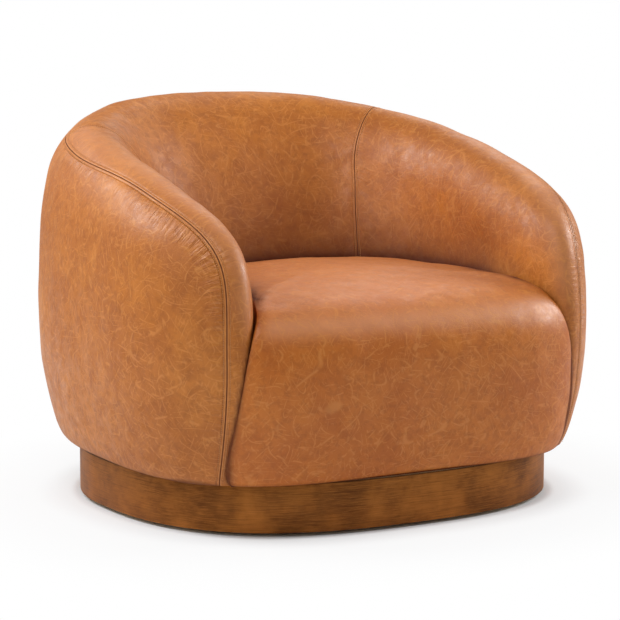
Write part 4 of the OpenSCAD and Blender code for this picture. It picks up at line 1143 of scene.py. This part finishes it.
def plinth_outline(t):
    r = float(oval(np.array(t), PLINTH_HALF, PLINTH_FRONT, PLINTH_BACK, PLINTH_FRONT_POWER,
                   PLINTH_BACK_POWER)) * .001
    return r * math.sin(t), PLINTH_Y + r * math.cos(t)


low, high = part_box("plinth_band")
facing = pulled_strip("plinth_facing", plinth_outline, low.z, high.z, FACING)
broken = facing.modifiers.new("broken_edges", "BEVEL")
broken.width, broken.segments, broken.limit_method = FACING_BREAK, 2, "ANGLE"
facing.data.materials.append(bronze_look())
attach(facing, "chair")
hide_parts("plinth_band")
print("plinth facing from", round(low.z, 4), "to", round(high.z, 4))

# %% [markdown]
# The parts inside keep their CAD shapes and get the finishes that a workshop would give them:
# birch plywood with its dark glue lines, sawn pine, turned and plated steel, brass, and moulded
# plastic.

# %% Plywood and pine
def wood_look(name, pale, dark, line, layered):
    m = Recipe(name)
    rings = m.noise(1, 4, .6, m.stretched((60, 9, 60), (0, 0, .12)))
    colour = m.blend(m.between(rings, .3, .7), pale, dark)
    pores = m.noise(1, 2, .5, m.stretched((900, 40, 900), (0, 0, .12)))
    colour = m.blend(m.between(pores, .55, .8, 0, .4), colour, line)
    if layered:
        height = m.feed(m.add("SeparateXYZ"), Vector=m.place).outputs["Z"]
        ply = m.math("PINGPONG", height, .0007)
        colour = m.blend(m.between(ply, .00055, .0007, 0, .35), colour, line)
    m.feed(m.shader, Base_Color=colour, Roughness=m.between(rings, 0, 1, .55, .75),
           Normal=m.bump(pores, .0002, .5))
    return m.material


birch = wood_look("birch_ply", rgb(226, 196, 152), rgb(206, 170, 122), rgb(150, 108, 70), True)
pine = wood_look("sawn_pine", rgb(230, 198, 146), rgb(208, 164, 108), rgb(164, 112, 66), False)
print("woods ready")

# %% Metals, plastics and felt
def metal_look(name, light, dark, rough, metallic=1.0, scale=1.0):
    m = Recipe(name)
    haze = m.noise(60 * scale, 4, .6)
    scratch = m.noise(1, 2, .5, m.stretched((1200 * scale, 90 * scale, 1200 * scale)))
    colour = m.blend(m.between(haze, .3, .7), light, dark)
    m.feed(m.shader, Base_Color=colour, Roughness=m.between(scratch, .3, .7, rough - .06, rough + .1),
           Normal=m.bump(scratch, .00006, .5))
    m.shader.inputs["Metallic"].default_value = metallic
    return m.material


def felt_look():
    m = Recipe("needled_felt")
    hair = m.noise(700, 4, .7, m.wobbled(160, .006))
    m.feed(m.shader, Base_Color=m.blend(m.between(hair, .3, .7), rgb(78, 74, 70), rgb(120, 114, 108)),
           Roughness=m.between(hair, 0, 1, .9, 1), Normal=m.bump(hair, .0008, .8))
    m.shader.inputs["Sheen Weight"].default_value = .3
    return m.material


steel = metal_look("oiled_steel", rgb(150, 150, 152), rgb(116, 117, 120), .36)
zinc = metal_look("zinc_plate", rgb(196, 198, 200), rgb(168, 170, 176), .3)
brass = metal_look("rolled_brass", rgb(206, 172, 98), rgb(180, 146, 78), .28)
nylon = metal_look("moulded_nylon", rgb(232, 226, 208), rgb(220, 212, 192), .5, 0.0, .4)
glide = metal_look("glide_plastic", rgb(44, 44, 46), rgb(34, 34, 36), .55, 0.0, .4)
felt = felt_look()
finishes = {
    birch: ["floor_board", "riser", "plinth_core", "deck_board", "arm_ribs_left", "arm_ribs_right",
            "back_ribs", "shell_wall", "shell_rail"],
    pine: ["plinth_beams", "front_rail", "seat_hoop", "corner_blocks"],
    steel: ["pivot_bolt", "lower_race", "upper_race", "seat_springs", "spring_ties"],
    zinc: ["pivot_washer", "pivot_nut", "lower_race_screws", "swivel_balls", "upper_race_screws",
           "riser_bolts", "deck_screws", "spring_clips"],
    brass: ["ball_cage"],
    nylon: ["pivot_bush"],
    glide: ["floor_glides"],
    felt: ["spring_pad"],
}
for material, names in finishes.items():
    for name in names:
        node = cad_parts[name]
        node.data.materials.clear()
        node.data.materials.append(material)
print("dressed", sum(len(n) for n in finishes.values()), "CAD nodes")

# %% [markdown]
# The floor is plain and white. It keeps the soft shadow under the chair, and further out it turns
# to pure white for the camera alone, so that no more light than needed falls on the leather.

# %% Floor
bm = bmesh.new()
bmesh.ops.create_circle(bm, cap_ends=True, segments=96, radius=14)
floor = placed("studio_floor", as_mesh("studio_floor", bm))
m = Recipe("white_floor")
grey = m.noise(3, 2)
m.feed(m.shader, Base_Color=m.blend(grey, (.84, .86, .89, 1), (.86, .88, .905, 1)), Roughness=.9)
m.shader.inputs["Specular IOR Level"].default_value = .1
glow = m.feed(m.add("Emission"), Color=(1, 1, 1, 1), Strength=1.0)
where = m.feed(m.add("SeparateXYZ"), Vector=m.place)
beside = m.math("DIVIDE", m.math("ABSOLUTE", where.outputs["X"], 0), PLINTH_HALF * .001)
behind = m.math("SUBTRACT", where.outputs["Y"], PLINTH_Y)
is_front = m.math("LESS_THAN", behind, 0)
depth = m.plus(m.times(is_front, (PLINTH_FRONT - PLINTH_BACK) * .001), PLINTH_BACK * .001)
behind = m.math("DIVIDE", m.math("ABSOLUTE", behind, 0), depth)
power = m.plus(m.times(is_front, PLINTH_FRONT_POWER - PLINTH_BACK_POWER), PLINTH_BACK_POWER)
away_by = m.plus(m.math("POWER", beside, power), m.math("POWER", behind, power))
away_by = m.math("POWER", away_by, m.math("DIVIDE", 1, power))
edge = m.plus(m.between(away_by, 1.008, 1.05, 0, .5), m.between(away_by, 1.02, 1.22, 0, .36))
edge = m.plus(edge, m.between(away_by, 1.1, 1.9, 0, .14))
looked_at = m.add("LightPath").outputs["Is Camera Ray"]
shown = m.feed(m.add("MixShader"), _0=m.times(edge, looked_at))
m.tree.links.new(m.shader.outputs[0], shown.inputs[1])
m.tree.links.new(glow.outputs[0], shown.inputs[2])
m.tree.links.new(shown.outputs[0], m.tree.nodes["Material Output"].inputs["Surface"])
floor.data.materials.append(m.material)
print("floor ready")
